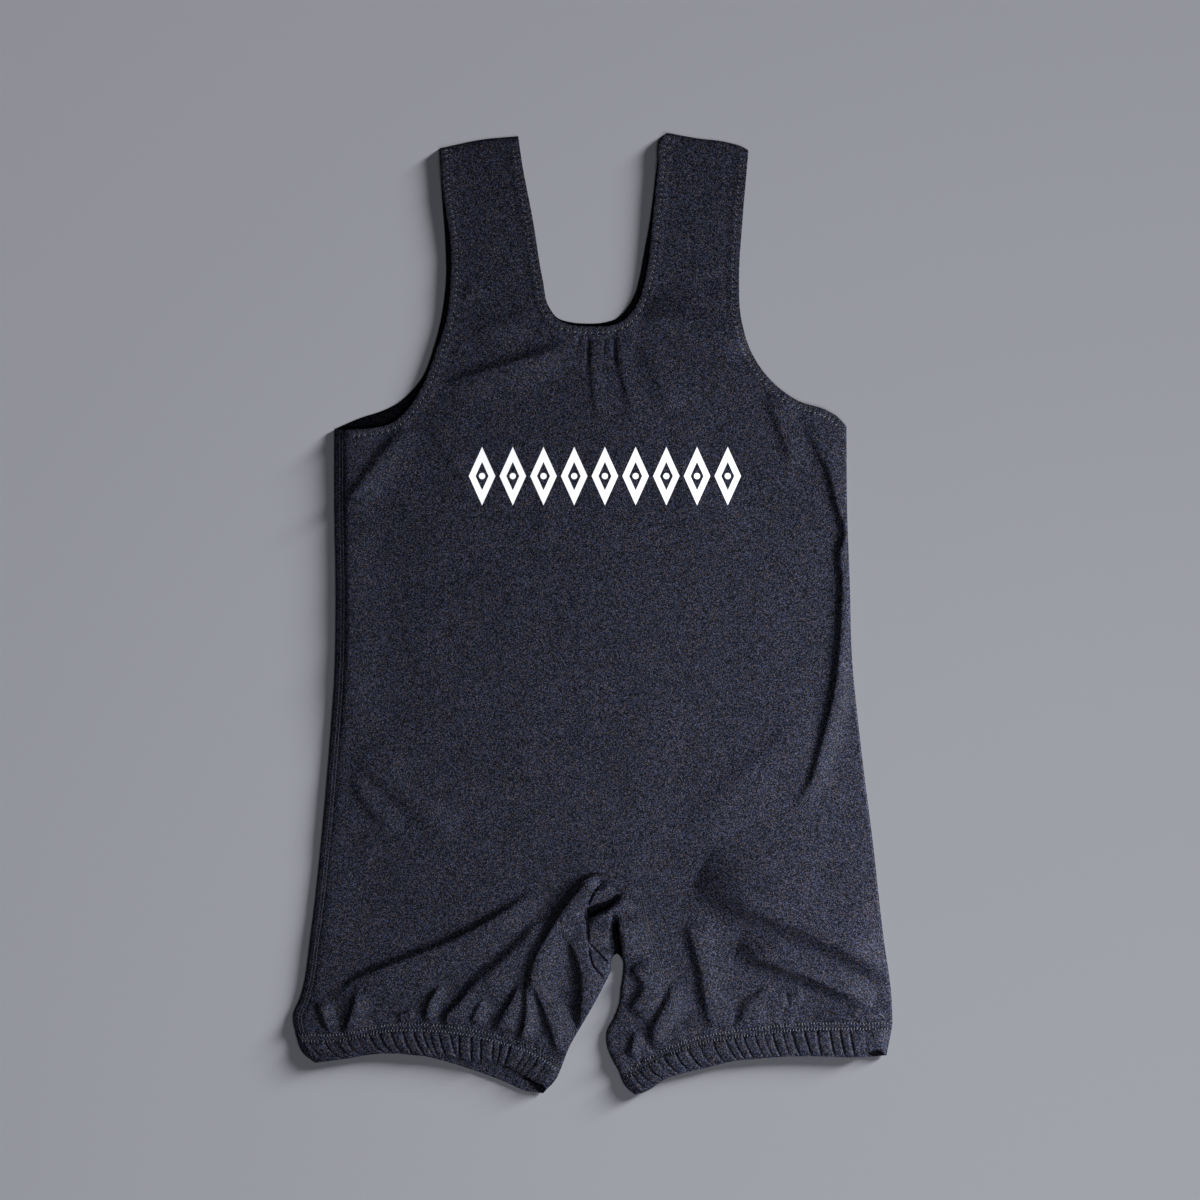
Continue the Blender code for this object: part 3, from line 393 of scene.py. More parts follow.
# Rows and columns of a band, how its cloth differs, and its creases underneath
BAND_ROWS = (0, 0.008, 0.025, 0.06, 0.1, 0.14, 0.18, 0.22, 0.27, 0.35, 0.45, 0.55, 0.65, 0.75, 0.83, 0.9,
             0.95, 0.972, 0.988, 0.996, 1.0)
BAND_COLUMN = 0.62
COLUMN_CLEAR = 0.6
BAND_WALL_SHARE = 1.3
BAND_SHADE = 0.92
UNDER_CREASE = 0.35
UNDER_CREASE_FULL = 0.3

# Lines of the sewing where the ends of each band are joined
BAND_JOINS = {
    "left": ((-213, -317.5), (-211, -326), (-207.5, -334.5)),
    "right": ((68.3, -323), (72, -331), (77, -340)),
}

# Short nicks of the cloth just above the band seams: place on the seam, length and lean
Nick = namedtuple("Nick", "x length lean")
NICKS = {
    "left": (
        Nick(-209, 5, 1), Nick(-176, 3, 1), Nick(-160, 3, 2), Nick(-147, 7, -1), Nick(-141.5, 4, 2),
        Nick(-136.5, 9, 2), Nick(-131, 3, 0), Nick(-121.5, 4, -1), Nick(-104.5, 5, 1), Nick(-97, 4, 0),
        Nick(-86, 6, 1), Nick(-70, 5, 1), Nick(-60, 4, 1), Nick(-44, 5, 2)),
    "right": (
        Nick(31, 4, 1), Nick(37, 6, -2), Nick(52, 5, -2), Nick(60, 4, -1), Nick(71, 4, 0), Nick(95, 7, -3),
        Nick(101, 3, 0), Nick(113, 8, -2), Nick(123, 4, -1), Nick(134, 3, 0), Nick(143, 4, 1),
        Nick(151, 3, 0), Nick(162, 5, -1), Nick(172, 3, 0), Nick(186, 4, 1), Nick(196, 3, 0)),
}
NICK_DEPTH = 1.3
NICK_WIDTH = 1.3

# How the cloth puffs out above a band, in ribs, and steps down to it
BLOUSE = 1.1
BLOUSE_PLACE = 8.0
BLOUSE_WIDTH = 5.5
BLOUSE_RIB = 0.25
BLOUSE_RIB_TURNS = (2.6, 7.1)
BAND_STEP = 0.4
BAND_STEP_WIDTH = 3.0

# What an edge does: it meets its neighbour, rolls over, rolls over tightly, comes down to rest, is hemmed,
# or is plain
SEAM, ROLL, TIGHT, DROP, HEM, PLAIN = "seam", "roll", "tight", "drop", "hem", "plain"
REACHES = {ROLL: ROLL_REACH, TIGHT: TIGHT_REACH, DROP: DROP_REACH}
SHARES = {ROLL: ROLL_SHARES, TIGHT: ROLL_SHARES, DROP: DROP_SHARES}
Edge = namedtuple("Edge", "kind line")
Sheet = namedtuple("Sheet", "outer inner faces")
Cloth = namedtuple("Cloth", "wall gap hem_width hem_rise")

# Sewing: places of stitches beside their seams or hems, their lean and length as shares of the pitch, and
# how they vary and lie
BAND_TICKS = ((-0.35, 0.65), (3.95, 4.95))
BAND_TICK_LEAN = 0.12
HEM_TICK = (-0.5, 0.45)
HEM_TICK_LEAN = 0.22
HEM_ZIGZAG_FOOT = 1.4
HEM_ZIGZAG_LEAN = 0.45
JOIN_INSETS = (-1.5, 1.5)
STITCH_LENGTH = 0.6
LONG_STITCH = 0.7
FIRST_STITCH = 0.5
# Where the first capsule of painted shade for the needle holes starts, as a share of the pitch
FIRST_HOLE_SHADE = 1.0
STITCH_DRIFT = 0.08
STITCH_DRIFT_RATE = 1.9
FINE_THREAD = 0.8
THREAD_LIFT = 0.25
THREAD_SIDES = 6
THREAD_RINGS = (-1.1, -0.5, 0.0)
RAY_START = 0.05

# Rows of stitches beside each seam, as insets from it, and the seams where they are longer or lie below
SEAM_INSETS = {
    "left_side": (-3.2, -0.9),
    "right_inseam": (0.6, 2.2, 3.8),
    "gusset_left": (0.7, 2.3, 3.9),
    "gusset_fold": (0.8, 2.4),
    "gusset_right": (0.8, 2.6),
    "gusset_cross": (0.8, 2.4),
    "right_side": (0.7, 2.4),
}
LONG_STITCHED = ("gusset_left",)
SEWN_BELOW = ("right_side",)

# The print: a row of hollow lozenges with a disc in each
PRINT_CENTRE = (9.0, 103.0)
PRINT_PITCH = 23.0
LOZENGE = (10.0, 22.0)
LOZENGE_HOLE = 0.52
LOZENGES = 9
DISC = 2.4
PRINT_SOFT = 0.25
PRINT_DEPTH = 1.2

# Finish of the knit, as shares, and as scales and places of its noise
COLUMN_SLANT = 0.55
RIB_POWER = 3
RIB_SHARE = 0.55
LOOP_SHARE = 0.8
KNIT_STRENGTH = 0.6
MOTTLE_SCALE = 24
MOTTLE_PLACE = (1, 8, 4)
MOTTLE_SHARE = 0.3
FUZZ_SCALE = 700
FUZZ_PLACE = (3, 1, 7)
NOISE_DETAIL = 2.0
ROUGHNESS_SPREAD = 0.1
SHEEN_ROUGHNESS = 0.4
WARM_STOPS = ((0.7, 0.0), (0.9, 1.0))
KNIT_UNDER_INK = 0.6

# Finish of the thread and the floor
THREAD_ROUGHNESS = 0.5
BAND_THREAD_ROUGHNESS = 0.55
# Roughness of the near-black capsules that are painted shade of the needle holes
HOLE_SHADE_ROUGHNESS = 0.7
TWIST_SCALE = 2600
TWIST_DETAIL = 1.0
TWIST_STOPS = ((0.35, 0.0), (0.6, 1.0))
TWIST_SHADE = 0.45
TWIST_DEPTH = 0.0001
TWIST_STRENGTH = 0.4
GRAIN_SCALE = 90
GRAIN_SHARE = 0.05
GRAIN_SHADE = 0.92
FLOOR_ROUGHNESS = 0.9
FLOOR_GLOSS = 0.1


def curve(knots, step):
    """Points about one step apart on a smooth curve through the knots."""
    knots = np.array(knots, float)
    along = np.concatenate([[0.0], np.cumsum(np.linalg.norm(np.diff(knots, axis=0), axis=1))])
    slopes = np.gradient(knots, along, axis=0)
    points = [knots[:1]]
    for i, span in enumerate(np.diff(along)):
        t = np.linspace(0, 1, max(1, round(span / step)) + 1)[1:, None]
        points.append(
            (2 * t**3 - 3 * t**2 + 1) * knots[i]
            + (t**3 - 2 * t**2 + t) * span * slopes[i]
            + (3 * t**2 - 2 * t**3) * knots[i + 1]
            + (t**3 - t**2) * span * slopes[i + 1]
        )
    return np.concatenate(points)


def edge_line(name):
    """The named edge as a line of points."""
    return curve(EDGES[name], EDGE_STEP)


def lengths_along(line):
    """How far along the line each of its points is."""
    return np.concatenate([[0.0], np.cumsum(np.linalg.norm(np.diff(line, axis=0), axis=1))])


def at_lengths(line, lengths):
    """Points of a line at these distances along it."""
    along = lengths_along(line)
    return np.stack([np.interp(lengths, along, line[:, axis]) for axis in (0, 1)], axis=1)


def left_normals(line):
    """Unit normals to the left of a line at each of its points."""
    ways = np.gradient(line, axis=0)
    ways /= np.linalg.norm(ways, axis=1, keepdims=True)
    return np.stack([-ways[:, 1], ways[:, 0]], axis=1)


def nearest_on(points, line):
    """For each point: its distance from the line, the left normal there, and how far along it that is."""
    normals = left_normals(line)
    starts = lengths_along(line)
    distance = np.full(len(points), np.inf)
    normal = np.zeros((len(points), 2))
    travelled = np.zeros(len(points))
    for i, length in enumerate(np.diff(starts)):
        way = (line[i + 1] - line[i]) / length
        run = np.clip((points - line[i]) @ way, 0, length)
        apart = np.linalg.norm(points - line[i] - run[:, None] * way, axis=1)
        near = apart < distance
        share = (run / length)[:, None]
        distance[near] = apart[near]
        normal[near] = ((1 - share) * normals[i] + share * normals[i + 1])[near]
        travelled[near] = (starts[i] + run)[near]
    normal /= np.maximum(np.linalg.norm(normal, axis=1, keepdims=True), TINY)
    return distance, normal, travelled


def close_to(points, line, reach):
    """Which points lie in the line's box, grown by the reach."""
    low, high = line.min(axis=0) - reach, line.max(axis=0) + reach
    return ((points > low) & (points < high)).all(axis=1)


def distance_within(points, line, reach):
    """Distance from the line and length along it, for the points in reach, and infinity for others."""
    distance = np.full(len(points), np.inf)
    travelled = np.zeros(len(points))
    near = close_to(points, line, reach)
    if near.any():
        distance[near], _, travelled[near] = nearest_on(points[near], line)
    return distance, travelled


def moved_in(line, distance):
    """A line run beside another, without the points that a bend brings closer than the distance."""
    beside = line + distance * left_normals(line)
    return beside[nearest_on(beside, line)[0] > BEND_SLACK * distance]


def between(line, start, end):
    """The stretch of a line from the point nearest one place to the point nearest another."""
    first, last = (int(np.linalg.norm(line - place, axis=1).argmin()) for place in (start, end))
    return line[first : last + 1]


def bell(x):
    """A bump that is 1 at 0 and dies away past 1."""
    return np.exp(-(x**2))


def smooth_step(low, high, x):
    """0 below the low value, 1 above the high one, and smooth between."""
    t = np.clip((x - low) / (high - low), 0, 1)
    return t * t * (3 - 2 * t)


def fold_height(points, fold):
    """Height that one fold adds: a steep side next to its path, a soft one beyond, and both ends fading."""
    line = curve(fold.path, FOLD_STEP)
    height = np.zeros(len(points))
    near = close_to(points, line, BELL_REACH * max(fold.steep, fold.soft))
    if not near.any():
        return height
    points = points[near]
    distance, normal, travelled = nearest_on(points, line)
    along = lengths_along(line)
    share = travelled / along[-1]
    foot = np.stack([np.interp(travelled, along, line[:, axis]) for axis in (0, 1)], axis=1)
    across = np.sign(((points - foot) * normal).sum(axis=1)) * distance
    if fold.rise > 0:
        across = across - fold.steep
    width = np.where(across < 0, STEEP_FOOT * fold.steep, fold.soft)
    fade = smooth_step(0, FOLD_TAPER, share) * smooth_step(0, FOLD_TAPER, 1 - share)
    height[near] = fold.rise * bell(across / width) * np.sqrt(fade)
    return height


def relief(points, folds=FOLDS):
    """Height of all the folds together: ridges that overlap don't pile up, and troughs cut into them."""
    heights = np.array([fold_height(points, fold) for fold in folds.values()])
    ridges = np.sqrt((np.maximum(heights, 0) ** 2).sum(axis=0))
    return ridges + np.minimum(heights, 0).sum(axis=0)


def unevenness(points):
    """Broad, low waves of the cloth."""
    total = np.zeros(len(points))
    for height, length, place in WAVES:
        spots = np.column_stack([points / length, np.full(len(points), place)])
        total += height * np.array([noise.noise(spot) for spot in spots.tolist()])
    return total


def band_blouse(points):
    """The cloth puffs out just above each band, and is nicked where the band gathers it."""
    lift = np.zeros(len(points))
    for side, nicks in NICKS.items():
        seam = edge_line(f"{side}_band_seam")
        distance, travelled = distance_within(points, seam, BLOUSE_PLACE + BELL_REACH * BLOUSE_WIDTH)
        short, long = BLOUSE_RIB_TURNS
        rib = 1 + BLOUSE_RIB * np.sin(travelled / short) * np.sin(travelled / long + 1)
        lift += BLOUSE * rib * bell((distance - BLOUSE_PLACE) / BLOUSE_WIDTH)
        lift += BAND_STEP * bell(distance / BAND_STEP_WIDTH)
        for nick in nicks:
            y = np.interp(nick.x, seam[:, 0], seam[:, 1])
            path = np.array([(nick.x, y), (nick.x + nick.lean, y + nick.length)])
            apart, way = distance_within(points, path, BELL_REACH * NICK_WIDTH)
            fade = 1 - way / lengths_along(path)[-1]
            lift -= NICK_DEPTH * bell(apart / NICK_WIDTH) * fade
    return lift


def side_puffs(points):
    """The tube stays a little open where it turns over at its sides."""
    lift = np.zeros(len(points))
    for side, rise in SIDE_PUFFS.items():
        reach = SIDE_PUFF_PLACE + BELL_REACH * SIDE_PUFF_SOFT
        away, _ = distance_within(points, edge_line(side), reach)
        width = np.where(away < SIDE_PUFF_PLACE, SIDE_PUFF_WIDTH, SIDE_PUFF_SOFT)
        lift += rise * bell((away - SIDE_PUFF_PLACE) / width)
    return lift * (SIDE_PUFF_LEFT + (1 - SIDE_PUFF_LEFT) * smooth_step(*SIDE_PUFF_FADE, points[:, 1]))


def top_relief(points):
    """Height of the top layer over its flat level, before hems and seams."""
    return relief(points) + unevenness(points) + band_blouse(points) + side_puffs(points)


def under_relief(points):
    """How far the layer underneath is pressed up from the floor."""
    return relief(points, UNDER_FOLDS)


def inside(points, loop):
    """Which points lie inside the loop."""
    found = np.zeros(len(points), bool)
    for a, b in zip(loop, np.roll(loop, -1, axis=0)):
        if a[1] != b[1]:
            crossing = a[0] + (points[:, 1] - a[1]) * (b[0] - a[0]) / (b[1] - a[1])
            found ^= ((a[1] > points[:, 1]) != (b[1] > points[:, 1])) & (points[:, 0] < crossing)
    return found


def split_near_end(line, insets):
    """A line with extra points near its start, where the cloth beside it bends."""
    along = lengths_along(line)
    wanted = np.array([inset for inset in insets if abs(along - inset).min() > TOO_NEAR])
    lengths = np.sort(np.concatenate([along, wanted]))
    return at_lengths(line, lengths)


def edge_insets(kind, hem_width):
    """How far in from an edge the rows of points run that its section needs."""
    if kind in REACHES:
        return [share * REACHES[kind] for share in SHARES[kind]]
    if kind == HEM:
        return [*ROUND_ROWS, *HEM_ROWS, hem_width, hem_width + HEM_STEP]
    return list(SEAM_ROWS if kind == SEAM else ROUND_ROWS)


def split_near_rolls(edges):
    """The edges, with extra points on those that start or end at a roll or a drop."""
    lines = [edge.line for edge in edges]
    for i, edge in enumerate(edges):
        before, after = edges[i - 1], edges[(i + 1) % len(edges)]
        if edge.kind not in REACHES and before.kind in REACHES:
            lines[i] = split_near_end(lines[i], edge_insets(before.kind, 0))
        if edge.kind not in REACHES and after.kind in REACHES:
            lines[i] = split_near_end(lines[i][::-1], edge_insets(after.kind, 0))[::-1]
    return [Edge(edge.kind, line) for edge, line in zip(edges, lines)]


def loop_of(edges, gap):
    """The loop's points, and the move that opens half a seam's gap at each point of its seams."""
    points, moves = [], []
    for edge, following in zip(edges, edges[1:] + edges[:1]):
        move = left_normals(edge.line) * (gap / 2 if edge.kind == SEAM else 0)
        meets = np.allclose(edge.line[-1], following.line[0], atol=MEETING)
        points.append(edge.line[:-1] if meets else edge.line)
        moves.append(move[:-1] if meets else move)
    for i, (edge, following) in enumerate(zip(edges, edges[1:] + edges[:1])):
        if edge.kind == SEAM and np.allclose(edge.line[-1], following.line[0], atol=MEETING):
            moves[(i + 1) % len(edges)][0] += left_normals(edge.line)[-1] * gap / 2
    return np.concatenate(points), np.concatenate(moves)


def edge_rows(edges, loop, cloth):
    """Rows of points along every edge, where its section bends, that don't crowd another edge."""
    rows = []
    for edge in edges:
        others = [other.line for other in edges if other is not edge]
        for inset in edge_insets(edge.kind, cloth.hem_width):
            row = moved_in(edge.line, inset)
            row = row[inside(row, loop)]
            for other in others:
                row = row[distance_within(row, other, EDGE_STEP)[0] > min(inset, EDGE_STEP / 2)]
            rows.append(row)
    return np.concatenate(rows)


def clear_of_edges(points, loop, edges, cloth, spacing):
    """The points that lie inside the loop, and clear of the rows that follow its edges."""
    points = points[inside(points, loop)]
    for edge in edges:
        inset = max(edge_insets(edge.kind, cloth.hem_width))
        points = points[distance_within(points, edge.line, inset + spacing)[0] > inset + spacing / 2]
    return points


def lattice_points(loop, edges, cloth, height, spacing):
    """A triangular lattice inside the loop and clear of its edges' rows, finer where the height bends."""
    low, high = loop.min(axis=0), loop.max(axis=0)
    rise = spacing * TRIANGLE_HEIGHT
    rows = np.arange(int((high[1] - low[1]) / rise) + 1)
    columns = np.arange(-len(rows), int((high[0] - low[0]) / spacing) + 1)
    j, i = (grid.ravel() for grid in np.meshgrid(rows, columns))
    points = np.column_stack([low[0] + (i + j / 2) * spacing, low[1] + j * rise])
    even = (i % 2 == 0) & (j % 2 == 0)
    near = inside(points, loop)
    points, even = points[near], even[near]
    middle = height(points)
    bends = np.zeros(len(points))
    for step in np.array([(PROBE, 0), (0, PROBE)]):
        bends = np.maximum(bends, abs(height(points + step) + height(points - step) - 2 * middle))
    size = np.sqrt(8 * CHORD_ERROR * PROBE**2 / (bends + TINY))
    fine = points[size < FINE_SHARE * spacing]
    halves = spacing / 2 * np.array([(1, 0), (0.5, TRIANGLE_HEIGHT), (-0.5, TRIANGLE_HEIGHT)])
    added = np.concatenate([fine + sign * half for half in halves for sign in (1, -1)])
    added = np.unique(np.round(added, 3), axis=0)
    kept = np.concatenate([points[(size < 2 * spacing) | even], added])
    return clear_of_edges(kept, loop, edges, cloth, spacing)


def triangulated(loop, extra):
    """Triangles that fill the loop and use the extra points, as indices into both lists together."""
    points = np.concatenate([loop, extra])
    found = delaunay_2d_cdt(points.tolist(), [], [list(range(len(loop)))], 1, SAME_SPOT)
    source = [origin[0] for origin in found[3]]
    return points, np.array([[source[i] for i in face] for face in found[2]])


def rounding(share):
    """Height of a quarter round, from 0 at its edge to 1 where it ends."""
    return np.sqrt(1 - (1 - np.clip(share, 0, 1)) ** 2)


def edge_sections(points, edges):
    """For each point: how far in from a roll or drop it is, as a share, the way in, and if it rolls."""
    share = np.ones(len(points))
    way_in = np.zeros((len(points), 2))
    rolls = np.zeros(len(points), bool)
    for edge in edges:
        if edge.kind in REACHES:
            near = np.flatnonzero(close_to(points, edge.line, REACHES[edge.kind]))
            distance, normal, _ = nearest_on(points[near], edge.line)
            closer = distance / REACHES[edge.kind] < share[near]
            share[near[closer]] = (distance / REACHES[edge.kind])[closer]
            way_in[near[closer]] = normal[closer]
            rolls[near[closer]] = edge.kind != DROP
    return share, way_in, rolls


def puckers(travelled, drift):
    """Waves of cloth along its sewing, from -1 to 1, whose length drifts by some turns over some length."""
    turns, length = drift
    return np.sin(2 * np.pi * travelled / PUCKER_LENGTH + turns * np.sin(travelled / length))


def hem_section(points, edges, cloth):
    """How thick the turned hem makes the cloth, and how its sewing and puckers shape its face."""
    thick = np.zeros(len(points))
    shape = np.zeros(len(points))
    for edge in edges:
        if edge.kind == HEM:
            away, travelled = distance_within(points, edge.line, PUCKER_REACH)
            thick = np.maximum(thick, np.clip((cloth.hem_width + HEM_STEP - away) / HEM_STEP, 0, 1))
            pucker = PUCKER * puckers(travelled, HEM_DRIFT) * smooth_step(PUCKER_REACH, PUCKER_FULL, away)
            shape += pucker - HEM_GROOVE * bell((away - HEM_STITCH) / HEM_GROOVE_WIDTH)
    return thick * cloth.hem_rise, shape


def seam_section(points, edges):
    """How the cloth dips into its seams, and puckers beside them."""
    shape = np.zeros(len(points))
    for edge in edges:
        if edge.kind == SEAM:
            away, travelled = distance_within(points, edge.line, SEAM_PUCKER_REACH)
            shape -= SEAM_DIP * bell(away / SEAM_DIP_WIDTH)
            shape += SEAM_PUCKER * puckers(travelled, SEAM_DRIFT) * smooth_step(SEAM_PUCKER_REACH, 0, away)
    return np.maximum(shape, -SEAM_DIP - SEAM_PUCKER)


def edge_thinning(points, edges, wall):
    """Share of the wall that is left at each point, where hemmed and plain edges are rounded off."""
    left = np.ones(len(points))
    for edge in edges:
        if edge.kind in (HEM, PLAIN):
            away, _ = distance_within(points, edge.line, wall)
            left = np.minimum(left, EDGE_LEFT + (1 - EDGE_LEFT) * rounding(away / (EDGE_ROUND * wall)))
    return left


def turned_in(share, way_in, moves, wall):
    """How far the inner side lies from the outer one in plan, and never across a seam."""
    offset = wall * (1 - share)[:, None] * way_in
    across = moves / np.maximum(np.linalg.norm(moves, axis=1, keepdims=True), TINY)
    return offset - np.minimum((offset * across).sum(axis=1, keepdims=True), 0) * across


def lay_top(points, moves, edges, flat_top, cloth, lift):
    """Outer and inner points of cloth on the top layer, whose outer side faces up."""
    share, way_in, rolls = edge_sections(points, edges)
    rise = rounding(share)
    middle = np.where(rolls, flat_top / 2, 0.0)
    hem, shape = hem_section(points, edges, cloth)
    thick = cloth.wall + hem
    lowest = under_relief(points) + cloth.wall + CLEAR
    crown = flat_top + lift + hem + shape + seam_section(points, edges)
    crown = np.maximum(crown, np.maximum(lowest + thick, flat_top - DEEPEST_TROUGH))
    left = edge_thinning(points, edges, cloth.wall)
    top = middle + (crown - middle) * rise
    bottom = top - thick * rise
    top, bottom = top - thick * rise * (1 - left) / 2, bottom + thick * rise * (1 - left) / 2
    outer = np.column_stack([points + moves, top])
    inner = np.column_stack([points + moves + turned_in(share, way_in, moves, cloth.wall), bottom])
    return outer, inner


def lay_under(points, moves, edges, flat_top, cloth, lift):
    """Outer and inner points of cloth on the layer underneath, whose outer side rests on the floor."""
    share, way_in, _ = edge_sections(points, edges)
    rise = rounding(share)
    hem, _ = hem_section(points, edges, cloth)
    thick = (cloth.wall + hem) * rise
    left = edge_thinning(points, edges, cloth.wall)
    bottom = flat_top / 2 * (1 - rise) + lift * rise
    outer = np.column_stack([points + moves, bottom + thick * (1 - left) / 2])
    inside_plan = points + moves + turned_in(share, way_in, moves, cloth.wall)
    inner = np.column_stack([inside_plan, bottom + thick * (1 + left) / 2])
    return outer, inner


def panel(edges, cloth, under=False, spacing=LATTICE):
    """A piece cut to a loop of edges, run with the cloth on their left."""
    edges = split_near_rolls(edges)
    loop, moves = loop_of(edges, cloth.gap)
    height = under_relief if under else top_relief
    rows = edge_rows(edges, loop, cloth)
    filling = lattice_points(loop, edges, cloth, height, spacing)
    points, faces = triangulated(loop, np.concatenate([rows, filling]))
    moves = np.concatenate([moves, np.zeros((len(points) - len(moves), 2))])
    if under:
        outer, inner = lay_under(points, moves, edges, FLAT_TOP, cloth, under_relief(points))
        return Sheet(outer, inner, faces[:, ::-1])
    outer, inner = lay_top(points, moves, edges, FLAT_TOP, cloth, top_relief(points))
    return Sheet(outer, inner, faces)


def band_grid(seam, left_end, hem, right_end, columns):
    """Plan points of a band, a row for each share of its width, between its four curved sides."""
    rows = np.array(BAND_ROWS)
    top = at_lengths(seam, columns * lengths_along(seam)[-1])
    bottom = at_lengths(hem, columns * lengths_along(hem)[-1])
    left, right = (at_lengths(end, rows * lengths_along(end)[-1]) for end in (left_end, right_end))
    along, down = columns[None, :, None], rows[:, None, None]
    straight = (1 - down) * top[None] + down * bottom[None]
    left_bow = left[:, None] - ((1 - down) * left[0] + down * left[-1])
    right_bow = right[:, None] - ((1 - down) * right[0] + down * right[-1])
    return straight + (1 - along) * left_bow + along * right_bow


def crease_height(side, columns, seam):
    """Height of a band's gathers: puffs between its creases, fading at its seam and its hem."""
    along = lengths_along(seam)
    length = along[-1]
    places = np.interp([crease.x for crease in CREASES[side]], seam[:, 0], along)
    leans = np.array([crease.lean for crease in CREASES[side]], float)
    depths = np.array([0.0, *(crease.depth for crease in CREASES[side]), 0.0])
    height = np.zeros((len(BAND_ROWS), len(columns)))
    begin, full, fade, end = CREASE_ROWS
    reached = columns * length
    for row, down in enumerate(BAND_ROWS):
        marks = np.concatenate([[-CREASE_PAST_END], places + leans * down, [length + CREASE_PAST_END]])
        before = np.clip(np.searchsorted(marks, reached) - 1, 0, len(marks) - 2)
        gap = marks[before + 1] - marks[before]
        share = np.clip((reached - marks[before]) / gap, 0, 1)
        depth = np.where(share < 0.5, depths[before], depths[before + 1])
        puff = 1 - depth * abs(2 * share - 1) ** np.where(share < 0.5, CREASE_STEEP, CREASE_GENTLE)
        window = smooth_step(begin, full, down) * (1 - (1 - CREASE_AT_HEM) * smooth_step(fade, end, down))
        size = np.minimum(1, gap / CREASE_FULL_GAP)
        height[row] = CREASE_RISE * (size * puff * window + CREASE_FLAT * (1 - window))
        if TICK_ROWS[0] < down < TICK_ROWS[1]:
            height[row] += TICK * np.sin(2 * np.pi * reached / TICK_LENGTH)
    ends = smooth_step(0, BAND_END_FADE, np.minimum(columns, 1 - columns) * length)
    return (height * ends).ravel()


def band_sheet(side, cloth, under):
    """One layer of a leg band: gathered on top, and hardly at all where it rests."""
    parts = ("seam", "left_end", "right_end")
    seam, left_end, right_end = (edge_line(f"{side}_band_{part}") for part in parts)
    back_hem = f"{side}_band_back_hem"
    hem = edge_line(back_hem if under and back_hem in EDGES else f"{side}_band_hem")
    length = lengths_along(seam)[-1]
    near_ends = np.array([0.0, *(share * ROLL_REACH / length for share in ROLL_SHARES)])
    middle = np.linspace(0, 1, round(length / BAND_COLUMN) + 1)
    clear = near_ends[-1] + COLUMN_CLEAR * BAND_COLUMN / length
    middle = middle[(middle > clear) & (middle < 1 - clear)]
    columns = np.concatenate([near_ends, middle, 1 - near_ends[::-1]])
    grid = band_grid(seam, left_end, hem, right_end, columns)
    points = grid.reshape(-1, 2)
    moves = np.zeros_like(points)
    moves[: len(columns)] = -left_normals(grid[0]) * cloth.gap / 2
    edges = [
        Edge(ROLL, left_end), Edge(PLAIN, grid[-1]), Edge(ROLL, right_end[::-1]),
        Edge(SEAM, grid[0][::-1])]
    index = np.arange(len(points)).reshape(len(BAND_ROWS), len(columns))
    a, b, c, d = index[:-1, :-1], index[1:, :-1], index[1:, 1:], index[:-1, 1:]
    halves = ((a, b, c), (a, c, d))
    faces = np.concatenate([np.stack(corners, axis=-1).reshape(-1, 3) for corners in halves])
    gathers = crease_height(side, columns, seam)
    if under:
        from_seam = smooth_step(0, UNDER_CREASE_FULL, np.repeat(BAND_ROWS, len(columns)))
        lift = UNDER_CREASE * (1 - gathers / CREASE_RISE) * from_seam
        outer, inner = lay_under(points, moves, edges, BAND_TOP, cloth, np.maximum(lift, 0))
        return Sheet(outer, inner, faces[:, ::-1])
    lift = relief(points) + gathers
    outer, inner = lay_top(points, moves, edges, BAND_TOP, cloth, lift)
    return Sheet(outer, inner, faces)


def wrap_seam(side_name, head, foot):
    """The seam along a rolled side, one wrap's width in, from its head at the armhole to its foot."""
    line = moved_in(edge_line(side_name), WRAP_WIDTH)
    if side_name == "right_side":
        line = line[::-1]
    line[0], line[-1] = head, foot
    return line


def side_seams():
    """The left and right side seams."""
    return (
        wrap_seam("left_side", LEFT_WRAP_HEAD, LEFT_WRAP_FOOT),
        wrap_seam("right_side", RIGHT_WRAP_HEAD, RIGHT_WRAP_FOOT),
    )


def band_seams():
    """The seams of the leg bands, by side."""
    return {side: edge_line(f"{side}_band_seam") for side in SIDES}


def front_sheets(cloth):
    """The front, with both front straps, and the strip of it that wraps under at the right side."""
    left_seam, right_seam = side_seams()
    bands = band_seams()
    armhole = edge_line("right_armhole")
    top = [
        Edge(HEM, edge_line("left_armhole")),
        Edge(SEAM, left_seam),
        Edge(SEAM, between(bands["left"], LEFT_WRAP_FOOT, bands["left"][-1])),
        Edge(DROP, edge_line("left_inner_leg")),
        *(Edge(SEAM, edge_line(f"gusset_{part}_seam")) for part in ("left", "fold", "top", "right")),
        Edge(SEAM, edge_line("right_inseam")),
        Edge(SEAM, between(bands["right"], INSEAM_FOOT, bands["right"][-1])),
        Edge(TIGHT, edge_line("right_side")),
        Edge(HEM, armhole),
        Edge(DROP, edge_line("right_strap_top")),
        Edge(HEM, edge_line("neck")),
        Edge(DROP, edge_line("left_strap_top")),
    ]
    wrap = [
        Edge(SEAM, right_seam),
        Edge(SEAM, between(bands["right"], RIGHT_WRAP_FOOT, bands["right"][-1])),
        Edge(TIGHT, edge_line("right_side")),
        Edge(PLAIN, between(armhole, armhole[0], RIGHT_WRAP_HEAD)),
    ]
    return [panel(top, cloth), panel(wrap, cloth, under=True)]


